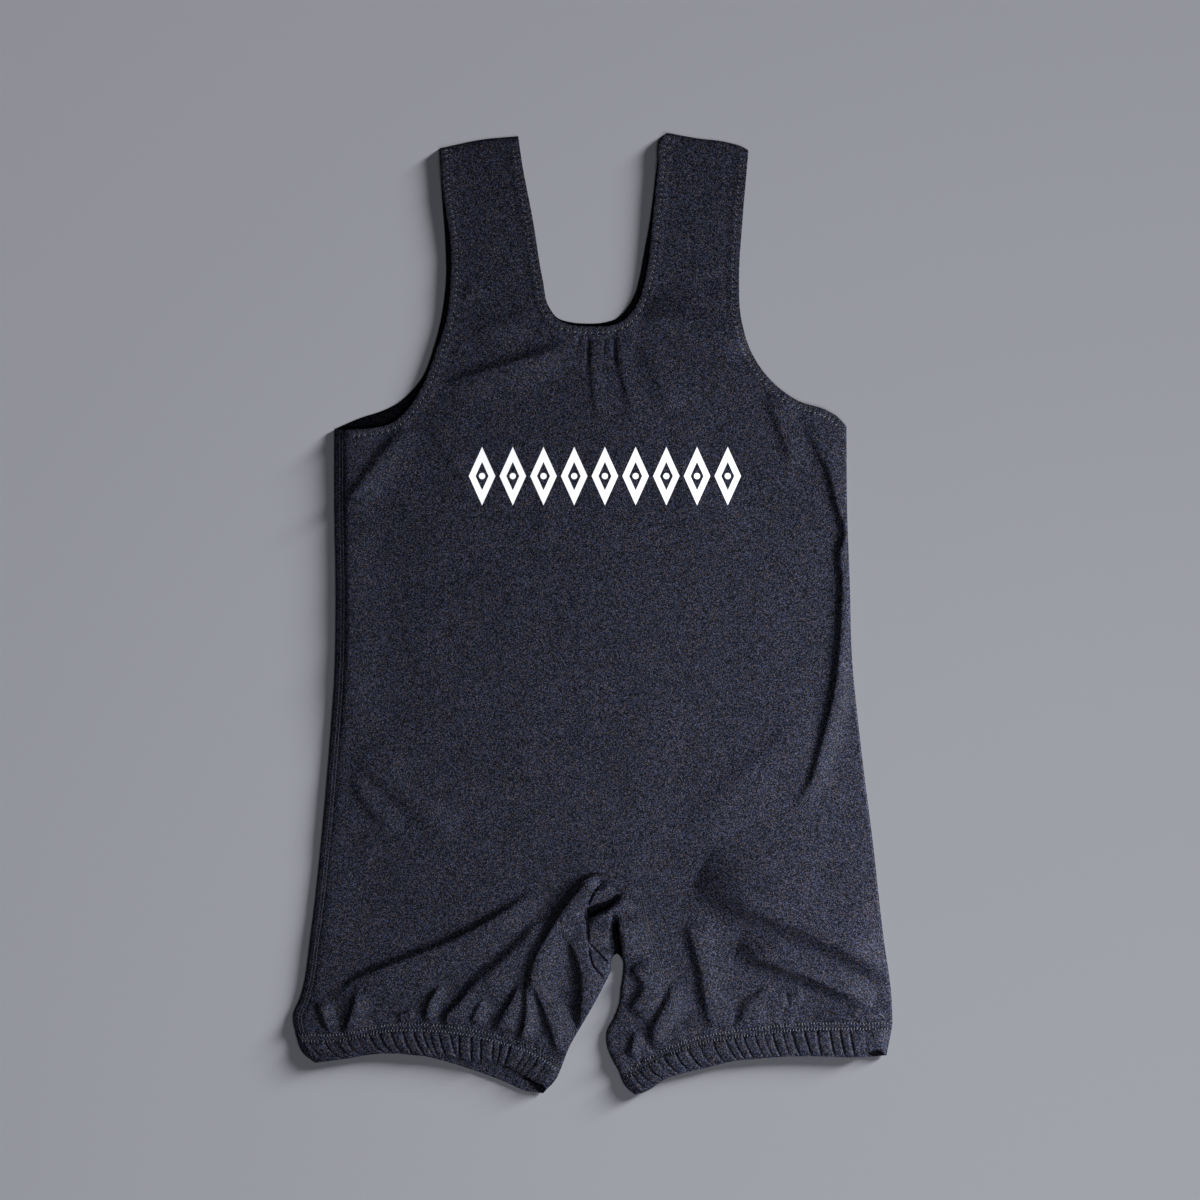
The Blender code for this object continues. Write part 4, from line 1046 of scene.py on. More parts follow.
def back_sheets(cloth):
    """The back, and the strips of it that wrap over at the left side and at the right leg's inner edge."""
    left_seam, right_seam = side_seams()
    bands = band_seams()
    crotch = moved_in(np.concatenate([edge_line("left_inner_leg")[:-1], edge_line("notch")]), DROP_INSET)
    armhole = edge_line("right_armhole")
    under = [
        Edge(HEM, edge_line("back_left_armhole")),
        Edge(ROLL, edge_line("left_side")),
        Edge(SEAM, bands["left"][:-1]),
        Edge(PLAIN, crotch[1:]),
        Edge(ROLL, edge_line("right_inner_leg")),
        Edge(SEAM, between(bands["right"], bands["right"][0], RIGHT_WRAP_FOOT)),
        Edge(SEAM, right_seam[::-1]),
        Edge(HEM, between(armhole, RIGHT_WRAP_HEAD, armhole[-2])),
        Edge(PLAIN, moved_in(edge_line("right_strap_top"), STRAP_INSET)),
        Edge(HEM, edge_line("back_neck")),
        Edge(PLAIN, moved_in(edge_line("left_strap_top"), STRAP_INSET)),
    ]
    side_wrap = [
        Edge(ROLL, edge_line("left_side")),
        Edge(SEAM, between(bands["left"], bands["left"][0], LEFT_WRAP_FOOT)),
        Edge(SEAM, left_seam[::-1]),
        Edge(PLAIN, np.array([LEFT_WRAP_HEAD, EDGES["left_side"][0]], float)),
    ]
    leg_wrap = [
        Edge(ROLL, edge_line("right_inner_leg")),
        Edge(SEAM, between(bands["right"], bands["right"][0], INSEAM_FOOT)),
        Edge(SEAM, edge_line("right_inseam")[::-1]),
        Edge(SEAM, edge_line("gusset_cross_seam")),
    ]
    return [panel(under, cloth, under=True), panel(side_wrap, cloth), panel(leg_wrap, cloth)]


def gusset_sheets(cloth):
    """The crotch gusset, which comes down to rest round the notch between the legs."""
    edges = [Edge(SEAM, edge_line(f"gusset_{part}_seam")[::-1]) for part in ("fold", "left")]
    edges.append(Edge(DROP, edge_line("notch")))
    edges += [Edge(SEAM, edge_line(f"gusset_{part}_seam")[::-1]) for part in ("cross", "right", "top")]
    return [panel(edges, cloth, spacing=GUSSET_LATTICE)]


def add_object(name, points, faces):
    """A mesh object in the scene, smooth but for its sharp edges."""
    mesh = bpy.data.meshes.new(name)
    mesh.from_pydata(points.tolist(), [], faces)
    mesh.shade_smooth()
    mesh.set_sharp_from_angle(angle=SMOOTH_ANGLE)
    obj = bpy.data.objects.new(name, mesh)
    bpy.context.scene.collection.objects.link(obj)
    return obj


def make_shell(name, sheets):
    """One closed wall from sheets that share points where they meet, with a rim round its open edges."""
    starts = np.cumsum([0] + [len(sheet.outer) for sheet in sheets])
    pairs = np.concatenate([np.hstack([sheet.outer, sheet.inner]) for sheet in sheets])
    faces = np.concatenate([sheet.faces + start for sheet, start in zip(sheets, starts)])
    _, first, index = np.unique(np.round(pairs / WELD), axis=0, return_index=True, return_inverse=True)
    pairs, faces = pairs[first], index.reshape(-1)[faces]
    count = len(pairs)
    ways = {(int(a), int(b)) for face in faces for a, b in zip(face, np.roll(face, -1))}
    rims = [(b, a, a + count, b + count) for a, b in sorted(ways) if (b, a) not in ways]
    walls = faces.tolist() + (faces[:, ::-1] + count).tolist() + rims
    points = np.concatenate([pairs[:, :3], pairs[:, 3:]]) * MM
    shell = add_object(name, points, walls)
    # Inner faces take the inside slot: painted shade on all pieces but the bands
    for polygon in shell.data.polygons[len(faces) : 2 * len(faces)]:
        polygon.material_index = INSIDE_SLOT
    paint_opening_shade(shell)
    return shell


def paint_opening_shade(shell):
    """Gives the painted-shade slot to the upper faces that lie in a fold's opening."""
    centres = np.array([polygon.center[:] for polygon in shell.data.polygons]) / MM
    upward = np.array([polygon.normal.z > 0 for polygon in shell.data.polygons])
    for opening in SHADED_OPENINGS.get(shell.name, ()):
        found = inside(centres[:, :2], np.array(opening.loop)) & upward & (centres[:, 2] < opening.ceiling)
        for i in np.flatnonzero(found):
            shell.data.polygons[i].material_index = SHADED_OPENING_SLOT


def capsule(segments, rings):
    """A stitch of thread as a capsule: points, as end, cap share and two sides of a round, and faces."""
    points, faces = [], []
    for end, angle in [(-1, a) for a in rings] + [(1, -a) for a in rings[::-1]]:
        for k in range(segments):
            turn = 2 * np.pi * k / segments
            radius = np.cos(angle)
            points.append((end, end * abs(np.sin(angle)), radius * np.cos(turn), radius * np.sin(turn)))
    rows = 2 * len(rings)
    for row in range(rows - 1):
        for k in range(segments):
            a, b = row * segments + k, row * segments + (k + 1) % segments
            faces.append((a, b, b + segments, a + segments))
    faces.append(tuple(range(segments))[::-1])
    faces.append(tuple(range((rows - 1) * segments, rows * segments)))
    return np.array(points), faces


STITCH_POINTS, STITCH_FACES = capsule(THREAD_SIDES, THREAD_RINGS)


def stitch_row(line, inset, pitch, share):
    """Starts and ends of stitches along a line moved in by the inset, each a share of the pitch long."""
    row = moved_in(line, inset)
    starts = np.arange(FIRST_STITCH * pitch, lengths_along(row)[-1] - pitch, pitch)
    return np.stack([at_lengths(row, starts), at_lengths(row, starts + share * pitch)], axis=1)


def cross_row(line, near, far, pitch, lean, first=FIRST_STITCH):
    """Stitches that cross from one inset to another and lean along the line."""
    starts = np.arange(first * pitch, lengths_along(line)[-1] - pitch, pitch)
    starts += STITCH_DRIFT * pitch * np.sin(STITCH_DRIFT_RATE * starts)
    normals = left_normals(line)
    along = lengths_along(line)

    def beside(lengths, inset):
        way = np.stack([np.interp(lengths, along, normals[:, axis]) for axis in (0, 1)], axis=1)
        return at_lengths(line, lengths) + inset * way / np.linalg.norm(way, axis=1, keepdims=True)

    return np.stack([beside(starts, near), beside(starts + lean * pitch, far)], axis=1)


def drop_onto(cloth_tree, spots, from_below):
    """Heights of the cloth at plan spots, seen from above or below, with nan where there is none."""
    way = Vector((0, 0, 1 if from_below else -1))
    start = -RAY_START if from_below else RAY_START
    heights = []
    for x, y in (spots * MM).tolist():
        hit = cloth_tree.ray_cast(Vector((x, y, start)), way)[0]
        heights.append(hit.z / MM if hit else np.nan)
    return np.array(heights)


def make_stitches(name, cloth_tree, rows, radius, from_below=False):
    """One mesh of all the stitches, each a small capsule of thread that lies on the cloth, partly sunk."""
    ends = np.concatenate(rows)
    heights = drop_onto(cloth_tree, ends.reshape(-1, 2), from_below).reshape(-1, 2)
    sound = ~np.isnan(heights).any(axis=1)
    sound &= abs(heights[:, 0] - heights[:, 1]) < np.linalg.norm(ends[:, 0] - ends[:, 1], axis=1)
    lift = THREAD_LIFT * radius * (-1 if from_below else 1)
    ends = np.dstack([ends, heights + lift])[sound]
    middles, halves = ends.mean(axis=1), (ends[:, 1] - ends[:, 0]) / 2
    lengths = np.linalg.norm(halves, axis=1, keepdims=True)
    along = halves / lengths
    across = np.cross(along, (0, 0, 1))
    across /= np.linalg.norm(across, axis=1, keepdims=True)
    up = np.cross(across, along)
    side, cap, y, z = STITCH_POINTS.T
    run = side[None, :, None] * lengths[:, None] + (cap[None, :, None] * radius)
    points = (
        middles[:, None]
        + run * along[:, None]
        + y[None, :, None] * radius * across[:, None]
        + z[None, :, None] * radius * up[:, None]
    )
    count = len(STITCH_POINTS)
    faces = [tuple(k + count * i for k in face) for i in range(len(points)) for face in STITCH_FACES]
    return add_object(name, points.reshape(-1, 3) * MM, faces)


class Socket:
    """A node's output with arithmetic, so that an expression adds its Math nodes."""

    def __init__(self, tree, link):
        self.tree = tree
        self.link = link

    def math(self, operation, *others):
        values = {i: other for i, other in enumerate(others)}
        return self.tree.node("ShaderNodeMath", {"operation": operation}, values)

    def __add__(self, other):
        return self.math("ADD", self, other)

    def __radd__(self, other):
        return self.math("ADD", other, self)

    def __sub__(self, other):
        return self.math("SUBTRACT", self, other)

    def __rsub__(self, other):
        return self.math("SUBTRACT", other, self)

    def __mul__(self, other):
        return self.math("MULTIPLY", self, other)

    def __truediv__(self, other):
        return self.math("DIVIDE", self, other)

    def __lt__(self, other):
        return self.math("LESS_THAN", self, other)

    def size(self):
        return self.math("ABSOLUTE", self)

    def floor(self):
        return self.math("FLOOR", self)

    def power(self, exponent):
        return self.math("POWER", self, exponent)

    def root(self):
        return self.math("SQRT", self)

    def fraction(self):
        return self.math("FRACT", self)

    def clamped(self):
        return self.tree.node("ShaderNodeClamp", {}, {"Value": self}, "Result")


class Tree:
    """A material's nodes, built by one method that takes a node's type, settings and socket values."""

    def __init__(self, name):
        self.material = bpy.data.materials.new(name)
        self.material.use_nodes = True
        self.tree = self.material.node_tree
        self.shader = self.tree.nodes["Principled BSDF"]

    def node(self, kind, settings, values, output=0):
        made = self.tree.nodes.new(kind)
        for key, value in settings.items():
            setattr(made, key, value)
        for key, value in values.items():
            self.put(made.inputs[key], value)
        return Socket(self, made.outputs[output])

    def put(self, socket, value):
        if isinstance(value, Socket):
            self.tree.links.new(value.link, socket)
        else:
            socket.default_value = value

    def surface(self, **values):
        for key, value in values.items():
            self.put(self.shader.inputs[key.replace("_", " ")], value)
        return self.material

    def ramp(self, value, stops):
        """A colour ramp with these stops, as pairs of place and grey."""
        made = self.tree.nodes.new("ShaderNodeValToRGB")
        elements = made.color_ramp.elements
        for i, (place, grey) in enumerate(stops):
            element = elements[i] if i < 2 else elements.new(place)
            element.position = place
            element.color = (grey, grey, grey, 1)
        self.put(made.inputs["Fac"], value)
        return Socket(self, made.outputs["Color"])

    def blend(self, share, first, second):
        """A colour between two, by the share."""
        made = self.tree.nodes.new("ShaderNodeMix")
        made.data_type = "RGBA"
        self.put(made.inputs["Factor"], share)
        self.put(made.inputs[6], first)
        self.put(made.inputs[7], second)
        return Socket(self, made.outputs[2])

    def place(self):
        return self.node("ShaderNodeTexCoord", {}, {}, "Object")

    def speckle(self, place, scale, detail, seed=(0, 0, 0)):
        shifted = self.node("ShaderNodeMapping", {}, {"Vector": place, "Location": seed})
        values = {"Vector": shifted, "Scale": scale, "Detail": detail}
        return self.node("ShaderNodeTexNoise", {}, values, "Fac")


def knit_loops(tree, place, colours):
    """The face of the knit: its height, and two random tones that stay the same over each V-shaped loop."""
    apart = tree.node("ShaderNodeSeparateXYZ", {}, {"Vector": place})
    column = apart / colours.knit_width
    row = Socket(tree, apart.link.node.outputs["Y"]) / colours.knit_height
    from_rib = (column.fraction() - 0.5).size() * 2
    row = row + from_rib * COLUMN_SLANT
    corner = {"X": column.floor(), "Y": row.floor()}
    cell = tree.node("ShaderNodeCombineXYZ", {}, corner)
    tone = tree.node("ShaderNodeTexWhiteNoise", {"noise_dimensions": "2D"}, {"Vector": cell})
    other = Socket(tree, tone.link.node.outputs["Color"])
    loop = 1 - ((row.fraction() - 0.5).size() * 2).power(2)
    rib = 1 - from_rib.power(RIB_POWER)
    return loop * (1 - RIB_SHARE) + rib * RIB_SHARE, tone, other


def cloth_materials(name, colours, printed=False):
    """Both sides of a piece's knit: its face, and its inside, darkened as painted shade."""
    return (
        cloth_material(name, colours, 1.0, printed),
        cloth_material(f"{name}_inside", colours, colours.painted_inside_shade))


def cloth_material(name, colours, shade, printed=False):
    """Heathered stretch knit, printed or plain."""
    tree = Tree(name)
    place = tree.place()
    height, tone, other = knit_loops(tree, place, colours)
    # The shade darkens colour, gloss and sheen alike; for an inside or an opening it is painted shade
    dark, light, warm = (
        tuple(shade * value for value in colour) + (1,)
        for colour in (colours.cloth_dark, colours.cloth_light, colours.cloth_warm))
    colour = tree.blend(tone.power(colours.fleck_power), dark, light)
    colour = tree.blend(tree.ramp(other, WARM_STOPS) * tone, colour, warm)
    mottle = tree.speckle(place, MOTTLE_SCALE, NOISE_DETAIL, MOTTLE_PLACE)
    colour = tree.blend(mottle * MOTTLE_SHARE, colour, dark)
    fuzz = tree.speckle(place, FUZZ_SCALE, NOISE_DETAIL, FUZZ_PLACE)
    if printed:
        ink = print_mask(tree, place)
        colour = tree.blend(ink, colour, tuple(colours.ink) + (1,))
        height = height * (1 - ink * KNIT_UNDER_INK)
    raised = {
        "Height": height * LOOP_SHARE + fuzz, "Distance": colours.knit_relief, "Strength": KNIT_STRENGTH}
    bump = tree.node("ShaderNodeBump", {}, raised, "Normal")
    return tree.surface(
        Base_Color=colour, Roughness=colours.roughness + mottle * ROUGHNESS_SPREAD, Normal=bump,
        Specular_IOR_Level=shade * colours.gloss, Specular_Tint=tuple(colours.shine) + (1,),
        Sheen_Weight=shade * colours.sheen, Sheen_Roughness=SHEEN_ROUGHNESS)


def print_mask(tree, place):
    """1 on the printed row of lozenges and discs, soft at its edges, and 0 below the face of the cloth."""
    x_node = tree.node("ShaderNodeSeparateXYZ", {}, {"Vector": place}, "X")
    x = x_node / MM - PRINT_CENTRE[0]
    y = Socket(tree, x_node.link.node.outputs["Y"]) / MM - PRINT_CENTRE[1]
    z = Socket(tree, x_node.link.node.outputs["Z"]) / MM
    cell = ((x / PRINT_PITCH + LOZENGES / 2).fraction() - 0.5) * PRINT_PITCH
    inwards = 1 - cell.size() / LOZENGE[0] - y.size() / LOZENGE[1]
    outline = (inwards * (LOZENGE[0] / PRINT_SOFT) + 0.5).clamped()
    hole = ((inwards - LOZENGE_HOLE) * (LOZENGE[0] / PRINT_SOFT) + 0.5).clamped()
    disc = ((DISC - (cell * cell + y * y).root()) / PRINT_SOFT + 0.5).clamped()
    on_face = z.math("GREATER_THAN", z, FLAT_TOP - PRINT_DEPTH)
    row = (x.size() < PRINT_PITCH * LOZENGES / 2) * on_face
    return (outline - hole + disc).clamped() * row


def thread_material(name, colour, roughness=THREAD_ROUGHNESS):
    """Twisted polyester thread, also used for the sewing's painted highlight and painted shade."""
    tree = Tree(name)
    place = tree.place()
    twist = tree.speckle(place, TWIST_SCALE, TWIST_DETAIL)
    dark = tuple(TWIST_SHADE * value for value in colour) + (1,)
    shade = tree.blend(tree.ramp(twist, TWIST_STOPS), dark, tuple(colour) + (1,))
    raised = {"Height": twist, "Distance": TWIST_DEPTH, "Strength": TWIST_STRENGTH}
    bump = tree.node("ShaderNodeBump", {}, raised, "Normal")
    return tree.surface(Base_Color=shade, Roughness=roughness + twist * ROUGHNESS_SPREAD, Normal=bump)


def floor_material(colours):
    """Smooth pale board with the faintest grain."""
    tree = Tree("studio_floor")
    place = tree.place()
    grain = tree.speckle(place, GRAIN_SCALE, NOISE_DETAIL) * GRAIN_SHARE
    base = tuple(colours.floor) + (1,)
    shade = tree.blend(grain, base, tuple(GRAIN_SHADE * value for value in colours.floor) + (1,))
    return tree.surface(
        Base_Color=shade, Roughness=FLOOR_ROUGHNESS + grain, Specular_IOR_Level=FLOOR_GLOSS)


class SingletSizes(bpy.types.PropertyGroup):
    """Sizes that a user would change."""

    wall: bpy.props.FloatProperty(
        name="Cloth wall", description="Thickness of the knit", default=0.0009, unit="LENGTH", precision=5)
    gap: bpy.props.FloatProperty(
        name="Seam gap", description="Space between pieces at a seam", default=0.00012, unit="LENGTH",
        precision=5)
    hem_width: bpy.props.FloatProperty(
        name="Hem width", description="Width of the turned hems", default=0.007, unit="LENGTH", precision=4)
    hem_rise: bpy.props.FloatProperty(
        name="Hem rise", description="How much thicker a hem is", default=0.00055, unit="LENGTH",
        precision=5)
    stitch_pitch: bpy.props.FloatProperty(
        name="Stitch pitch", description="Length of one stitch along its row", default=0.0023,
        unit="LENGTH", precision=4)
    thread_radius: bpy.props.FloatProperty(
        name="Thread radius", description="Half the thickness of the sewing thread", default=0.00022,
        unit="LENGTH", precision=5)
    floor_width: bpy.props.FloatProperty(
        name="Floor width", description="Width of the floor", default=6.0, unit="LENGTH")


class SingletColours(bpy.types.PropertyGroup):
    """Colours and finishes that a user would change."""

    cloth_dark: bpy.props.FloatVectorProperty(
        name="Cloth, dark", description="Dark yarn of the heather", subtype="COLOR",
        default=(0.002, 0.0026, 0.0046))
    cloth_light: bpy.props.FloatVectorProperty(
        name="Cloth, light", description="Light yarn of the heather", subtype="COLOR",
        default=(0.092, 0.106, 0.192))
    cloth_warm: bpy.props.FloatVectorProperty(
        name="Cloth, warm", description="Warm yarn of the heather", subtype="COLOR",
        default=(0.15, 0.11, 0.085))
    # The band stitches' light grey is partly the thread's own colour and partly painted highlight
    thread: bpy.props.FloatVectorProperty(
        name="Band thread", description="Sewing thread of the band seams", subtype="COLOR",
        default=(0.23, 0.25, 0.31))
    # Painted shade: near-black capsules between the bright band stitches stand for the shaded needle holes,
    # not for thread
    painted_hole_shade: bpy.props.FloatVectorProperty(
        name="Pulled thread", description="Thread sunk between the bright stitches of the bands",
        subtype="COLOR", default=(0.002, 0.002, 0.003))
    # Painted highlight: the turns of the hems' zigzag are drawn light, on thread as dark as the zigzag's
    # legs
    hem_highlight_thread: bpy.props.FloatVectorProperty(
        name="Hem thread", description="Bright turns of the hems' zigzag", subtype="COLOR",
        default=(0.28, 0.29, 0.32))
    zigzag_thread: bpy.props.FloatVectorProperty(
        name="Zigzag thread", description="Dark legs of the hems' zigzag", subtype="COLOR",
        default=(0.05, 0.053, 0.07))
    seam_thread: bpy.props.FloatVectorProperty(
        name="Seam thread", description="Sewing thread of the seams", subtype="COLOR",
        default=(0.075, 0.082, 0.11))
    # Painted shade: how much darker the inside and the fold openings are drawn, standing in for the shade
    # there
    painted_inside_shade: bpy.props.FloatProperty(
        name="Inside shade", description="How much darker the inside of the knit is", default=0.15,
        min=0, max=1, subtype="FACTOR")
    ink: bpy.props.FloatVectorProperty(
        name="Ink", description="White print", subtype="COLOR", default=(0.8, 0.81, 0.84))
    floor: bpy.props.FloatVectorProperty(
        name="Floor", description="Pale board", subtype="COLOR", default=(0.24, 0.245, 0.27))
    shine: bpy.props.FloatVectorProperty(
        name="Shine", description="Colour of the light that the yarn throws back", subtype="COLOR",
        default=(0.8, 0.87, 1.0))
    gloss: bpy.props.FloatProperty(
        name="Gloss", description="How much the yarn shines", default=0.16, min=0, max=1,
        subtype="FACTOR")
    roughness: bpy.props.FloatProperty(
        name="Roughness", description="How matt the yarn is", default=0.55, min=0, max=1,
        subtype="FACTOR")
    sheen: bpy.props.FloatProperty(
        name="Sheen", description="Soft light on the yarn's fuzz", default=0.05, min=0, max=1,
        subtype="FACTOR")
    fleck_power: bpy.props.FloatProperty(
        name="Fleck power", description="How few loops of the heather are light", default=3.3, min=0)
    knit_width: bpy.props.FloatProperty(
        name="Knit width", description="Width of one column of stitches", default=0.00058,
        unit="LENGTH", precision=5)
    knit_height: bpy.props.FloatProperty(
        name="Knit height", description="Height of one stitch", default=0.00048, unit="LENGTH",
        precision=5)
    knit_relief: bpy.props.FloatProperty(
        name="Knit relief", description="Depth of the knit's face", default=0.0001, unit="LENGTH",
        precision=5)


def sizes():
    """The sizes set in the scene."""
    return bpy.context.scene.singlet_sizes


def colours():
    """The colours and finishes set in the scene."""
    return bpy.context.scene.singlet_colours


def body_cloth():
    """The body's knit, in millimetres."""
    s = sizes()
    return Cloth(s.wall / MM, s.gap / MM, s.hem_width / MM, s.hem_rise / MM)


def finish_piece(obj, materials, node):
    """Gives a piece its materials, hangs it on the root body, and hides the part node that it stands for.
    """
    for material in materials:
        obj.data.materials.append(material)
    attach(obj, "root")
    if node:
        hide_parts(node)


CLOTH_PIECES = ("front_cloth", "back_cloth", "gusset_cloth", "left_band_cloth", "right_band_cloth")


def cloth_tree():
    """All the cloth that is in the scene so far, for finding its surface."""
    points, faces, start = [], [], 0
    for name in CLOTH_PIECES:
        mesh = bpy.data.objects[name].data
        points += [tuple(v.co) for v in mesh.vertices]
        faces += [tuple(start + v for v in polygon.vertices) for polygon in mesh.polygons]
        start = len(points)
    return BVHTree.FromPolygons(points, faces)


class SINGLET_OT_front(bpy.types.Operator):
    """Models the front with its straps and print"""

    bl_idname = "singlet.front"
    bl_label = "Front"

    def execute(self, context):
        piece = make_shell("front_cloth", front_sheets(body_cloth()))
        knit = cloth_materials("front_knit", colours(), printed=True)
        finish_piece(piece, knit, "front_panel")
        return {"FINISHED"}


class SINGLET_OT_back(bpy.types.Operator):
    """Models the back with its straps"""

    bl_idname = "singlet.back"
    bl_label = "Back"

    def execute(self, context):
        piece = make_shell("back_cloth", back_sheets(body_cloth()))
        finish_piece(piece, cloth_materials("back_knit", colours()), "back_panel")
        return {"FINISHED"}


class SINGLET_OT_gusset(bpy.types.Operator):
    """Models the crotch gusset"""

    bl_idname = "singlet.gusset"
    bl_label = "Gusset"

    def execute(self, context):
        piece = make_shell("gusset_cloth", gusset_sheets(body_cloth()))
        knit, dark = cloth_materials("gusset_knit", colours())
        # Its inside and its openings both take the dark inside material, as painted shade
        finish_piece(piece, (knit, dark, dark), "gusset")
        return {"FINISHED"}


class SINGLET_OT_bands(bpy.types.Operator):
    """Models the two elastic leg bands"""

    bl_idname = "singlet.bands"
    bl_label = "Leg bands"

    def execute(self, context):
        knit = body_cloth()
        cloth = knit._replace(wall=BAND_WALL_SHARE * knit.wall)
        band_knit = cloth_material("band_knit", colours(), BAND_SHADE)
        # Painted shade for the openings between a band's layers; a band's inside keeps the face's material
        dark = cloth_material("band_knit_painted_shade", colours(), colours().painted_inside_shade)
        for side in SIDES:
            sheets = [band_sheet(side, cloth, under=False), band_sheet(side, cloth, under=True)]
            piece = make_shell(f"{side}_band_cloth", sheets)
            finish_piece(piece, (band_knit, band_knit, dark), f"{side}_leg_band")
        return {"FINISHED"}


class SINGLET_OT_band_stitches(bpy.types.Operator):
    """Sews the cover stitches of the leg bands, above and below"""

    bl_idname = "singlet.band_stitches"
    bl_label = "Band stitches"

    def execute(self, context):
        s = sizes()
        pitch, radius = s.stitch_pitch / MM, s.thread_radius / MM
        tree = cloth_tree()
        # Light band thread: partly its own colour, partly painted highlight
        thread = thread_material("band_thread", colours().thread, BAND_THREAD_ROUGHNESS)
        hole_shade = thread_material("painted_hole_shade", colours().painted_hole_shade, HOLE_SHADE_ROUGHNESS)
        faint = thread_material("join_thread", colours().seam_thread)
        for side in SIDES:
            seam = edge_line(f"{side}_band_seam")[::-1][1:-1]
            ticks = [cross_row(seam, near, far, pitch, BAND_TICK_LEAN) for near, far in BAND_TICKS]
            # Near-black capsules between the stitches are painted shade of the needle holes
            hole_shades = [cross_row(seam, near, far, pitch, 0.0, FIRST_HOLE_SHADE) for near, far in BAND_TICKS]
            for layer, from_below in (("top", False), ("under", True)):
                for name, rows, yarn in (("stitches", ticks, thread), ("hole_shades", hole_shades, hole_shade)):
                    piece = make_stitches(f"{side}_band_{name}_{layer}", tree, rows, radius, from_below)
                    finish_piece(piece, [yarn], None)
            join = curve(BAND_JOINS[side], EDGE_STEP)
            rows = [stitch_row(join, inset, pitch, STITCH_LENGTH) for inset in JOIN_INSETS]
            piece = make_stitches(f"{side}_band_join_stitches", tree, rows, FINE_THREAD * radius)
            finish_piece(piece, [faint], None)
        return {"FINISHED"}


class SINGLET_OT_hem_stitches(bpy.types.Operator):
    """Sews the zigzag stitches of the neck and armhole hems"""

    bl_idname = "singlet.hem_stitches"
    bl_label = "Hem stitches"

    def execute(self, context):
        radius = sizes().thread_radius / MM
        tree = cloth_tree()
        # The zigzag's turns are drawn light as painted highlight; its legs have the thread's own dark
        # colour
        bright = thread_material("hem_highlight_thread", colours().hem_highlight_thread)
        dark = thread_material("zigzag_thread", colours().zigzag_thread)
        for hem in ("left_armhole", "right_armhole", "neck", "back_left_armhole", "back_neck"):
            line = edge_line(hem)
            from_below = hem.startswith("back")
            near, far = (HEM_STITCH + inset for inset in HEM_TICK)
            ticks = [cross_row(line, near, far, HEM_STITCH_PITCH, HEM_TICK_LEAN)]
            legs = [
                cross_row(line, start, end, HEM_STITCH_PITCH, HEM_ZIGZAG_LEAN)
                for start, end in ((HEM_ZIGZAG_FOOT, near), (near, HEM_ZIGZAG_FOOT))]
            for name, rows, thread in (("apexes", ticks, bright), ("zigzag", legs, dark)):
                piece = make_stitches(f"{hem}_{name}", tree, rows, radius, from_below)
                finish_piece(piece, [thread], None)
        return {"FINISHED"}


class SINGLET_OT_seam_stitches(bpy.types.Operator):
    """Sews the side seams, the inseam and the gusset seams"""

    bl_idname = "singlet.seam_stitches"
    bl_label = "Seam stitches"

    def execute(self, context):
        s = sizes()
        pitch, radius = s.stitch_pitch / MM, s.thread_radius / MM
        tree = cloth_tree()
        left_seam, right_seam = side_seams()
        thread = thread_material("seam_thread", colours().seam_thread)
        lines = {
            "left_side": left_seam,
            "right_inseam": edge_line("right_inseam"),
            "gusset_left": edge_line("gusset_left_seam"),
            "gusset_fold": edge_line("gusset_fold_seam")[::-1],
            "gusset_right": edge_line("gusset_right_seam"),
            "gusset_cross": edge_line("gusset_cross_seam"),
            "right_side": right_seam,
        }
        for name, insets in SEAM_INSETS.items():
            share = LONG_STITCH if name in LONG_STITCHED else STITCH_LENGTH
            rows = [stitch_row(lines[name], inset, pitch, share) for inset in insets]
            below = name in SEWN_BELOW
            piece = make_stitches(f"{name}_stitches", tree, rows, FINE_THREAD * radius, below)
            finish_piece(piece, [thread], None)
        return {"FINISHED"}


# Camera straight above, and the lamps: kind, place, size, strength, colour and what they light
CAMERA_PLACE = (0.0053, 0.0102)
CAMERA_LENS = 85.0
CAMERA_SENSOR = 36.0
FRAME_WIDTH = 0.9
Lamp = namedtuple("Lamp", "kind place size power colour lands_on")
LAMPS = {
    "key_light": Lamp("AREA", (1.06, -0.3, 0.54), 0.4, 34.0, (1.0, 0.99, 0.97), "cloth"),
    "overhead_light": Lamp("AREA", (0.5, -0.6, 1.4), 0.9, 14.5, (1.0, 1.0, 1.0), "all"),
    "floor_light": Lamp("SUN", (1.0, 0.62, 0.22), 0.22, 19.6, (1.0, 0.99, 0.97), "floor"),
}
VIEW_GAMMA = 0.8
WORLD_STRENGTH = 0.05
WORLD_COLOUR = (0.85, 0.9, 1.0, 1.0)


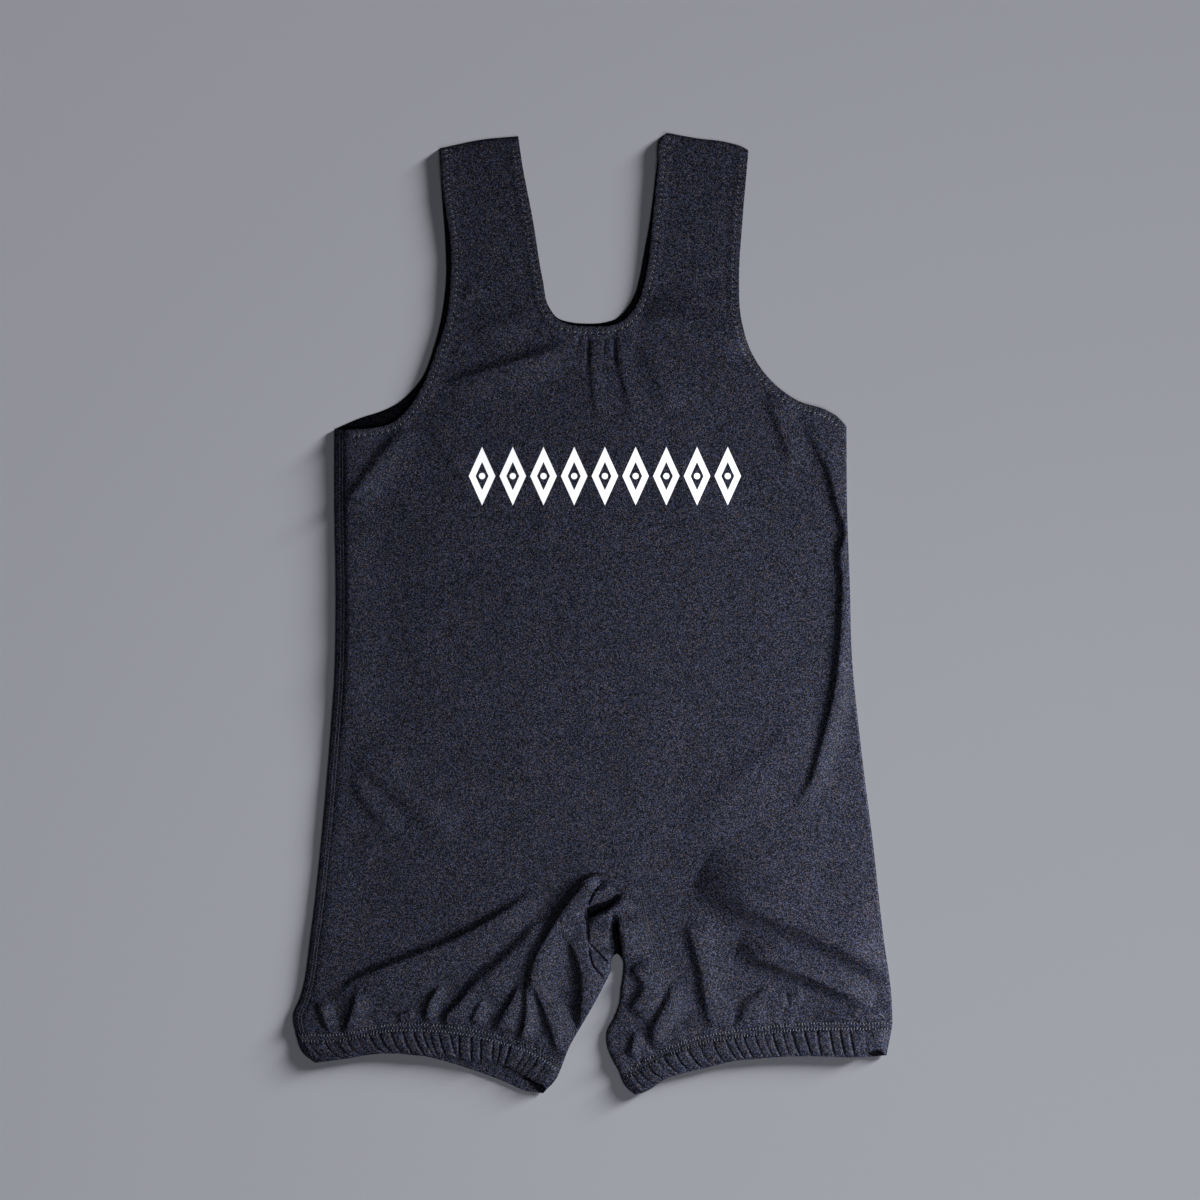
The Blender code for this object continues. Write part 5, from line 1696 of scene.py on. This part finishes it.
class SINGLET_OT_stage(bpy.types.Operator):
    """Sets the floor, the lights and the camera"""

    bl_idname = "singlet.stage"
    bl_label = "Stage"

    def execute(self, context):
        bpy.ops.object.select_all(action="DESELECT")
        bpy.ops.mesh.primitive_plane_add(size=sizes().floor_width)
        floor = context.active_object
        floor.name = "floor"
        floor.data.materials.append(floor_material(colours()))
        lit = {group: bpy.data.collections.new(f"{group}_lamps_land_on") for group in ("floor", "cloth")}
        for obj in context.scene.objects:
            if obj.type == "MESH":
                lit["floor" if obj == floor else "cloth"].objects.link(obj)
        for name, lamp in LAMPS.items():
            data = bpy.data.lights.new(name, lamp.kind)
            if lamp.kind == "SUN":
                data.angle = lamp.size
            else:
                data.size = lamp.size
            data.energy = lamp.power
            data.color = lamp.colour
            obj = bpy.data.objects.new(name, data)
            if lamp.lands_on in lit:
                obj.light_linking.receiver_collection = lit[lamp.lands_on]
            obj.location = lamp.place
            obj.rotation_euler = Vector(lamp.place).to_track_quat("Z", "Y").to_euler()
            context.scene.collection.objects.link(obj)
        world = bpy.data.worlds.new("studio")
        world.use_nodes = True
        background = world.node_tree.nodes["Background"]
        background.inputs["Color"].default_value = WORLD_COLOUR
        background.inputs["Strength"].default_value = WORLD_STRENGTH
        context.scene.world = world
        data = bpy.data.cameras.new("camera")
        data.lens = CAMERA_LENS
        data.sensor_width = CAMERA_SENSOR
        camera = bpy.data.objects.new("camera", data)
        camera.location = (*CAMERA_PLACE, FRAME_WIDTH * CAMERA_LENS / CAMERA_SENSOR)
        context.scene.collection.objects.link(camera)
        context.scene.camera = camera
        context.scene.view_settings.view_transform = "Standard"
        context.scene.view_settings.gamma = VIEW_GAMMA
        return {"FINISHED"}


class SINGLET_PT_panel(bpy.types.Panel):
    """Lists the steps that model the singlet"""

    bl_label = "Athletic Singlet"
    bl_space_type = "VIEW_3D"
    bl_region_type = "UI"
    bl_category = "Singlet"

    def draw(self, context):
        for step in STEPS:
            self.layout.operator(step.bl_idname)
        for group in (context.scene.singlet_sizes, context.scene.singlet_colours):
            for name in group.bl_rna.properties.keys():
                if name not in ("rna_type", "name"):
                    self.layout.prop(group, name)


STEPS = (
    SINGLET_OT_front, SINGLET_OT_back, SINGLET_OT_gusset, SINGLET_OT_bands, SINGLET_OT_band_stitches,
    SINGLET_OT_hem_stitches, SINGLET_OT_seam_stitches, SINGLET_OT_stage)
CLASSES = (SingletSizes, SingletColours, *STEPS, SINGLET_PT_panel)


def register():
    for each in CLASSES:
        bpy.utils.register_class(each)
    bpy.types.Scene.singlet_sizes = bpy.props.PointerProperty(type=SingletSizes)
    bpy.types.Scene.singlet_colours = bpy.props.PointerProperty(type=SingletColours)


def unregister():
    del bpy.types.Scene.singlet_colours
    del bpy.types.Scene.singlet_sizes
    for each in reversed(CLASSES):
        bpy.utils.unregister_class(each)


def main():
    register()
    bpy.ops.singlet.front()
    bpy.ops.singlet.back()
    bpy.ops.singlet.gusset()
    bpy.ops.singlet.bands()
    bpy.ops.singlet.band_stitches()
    bpy.ops.singlet.hem_stitches()
    bpy.ops.singlet.seam_stitches()
    bpy.ops.singlet.stage()


if __name__ == "__main__":
    main()
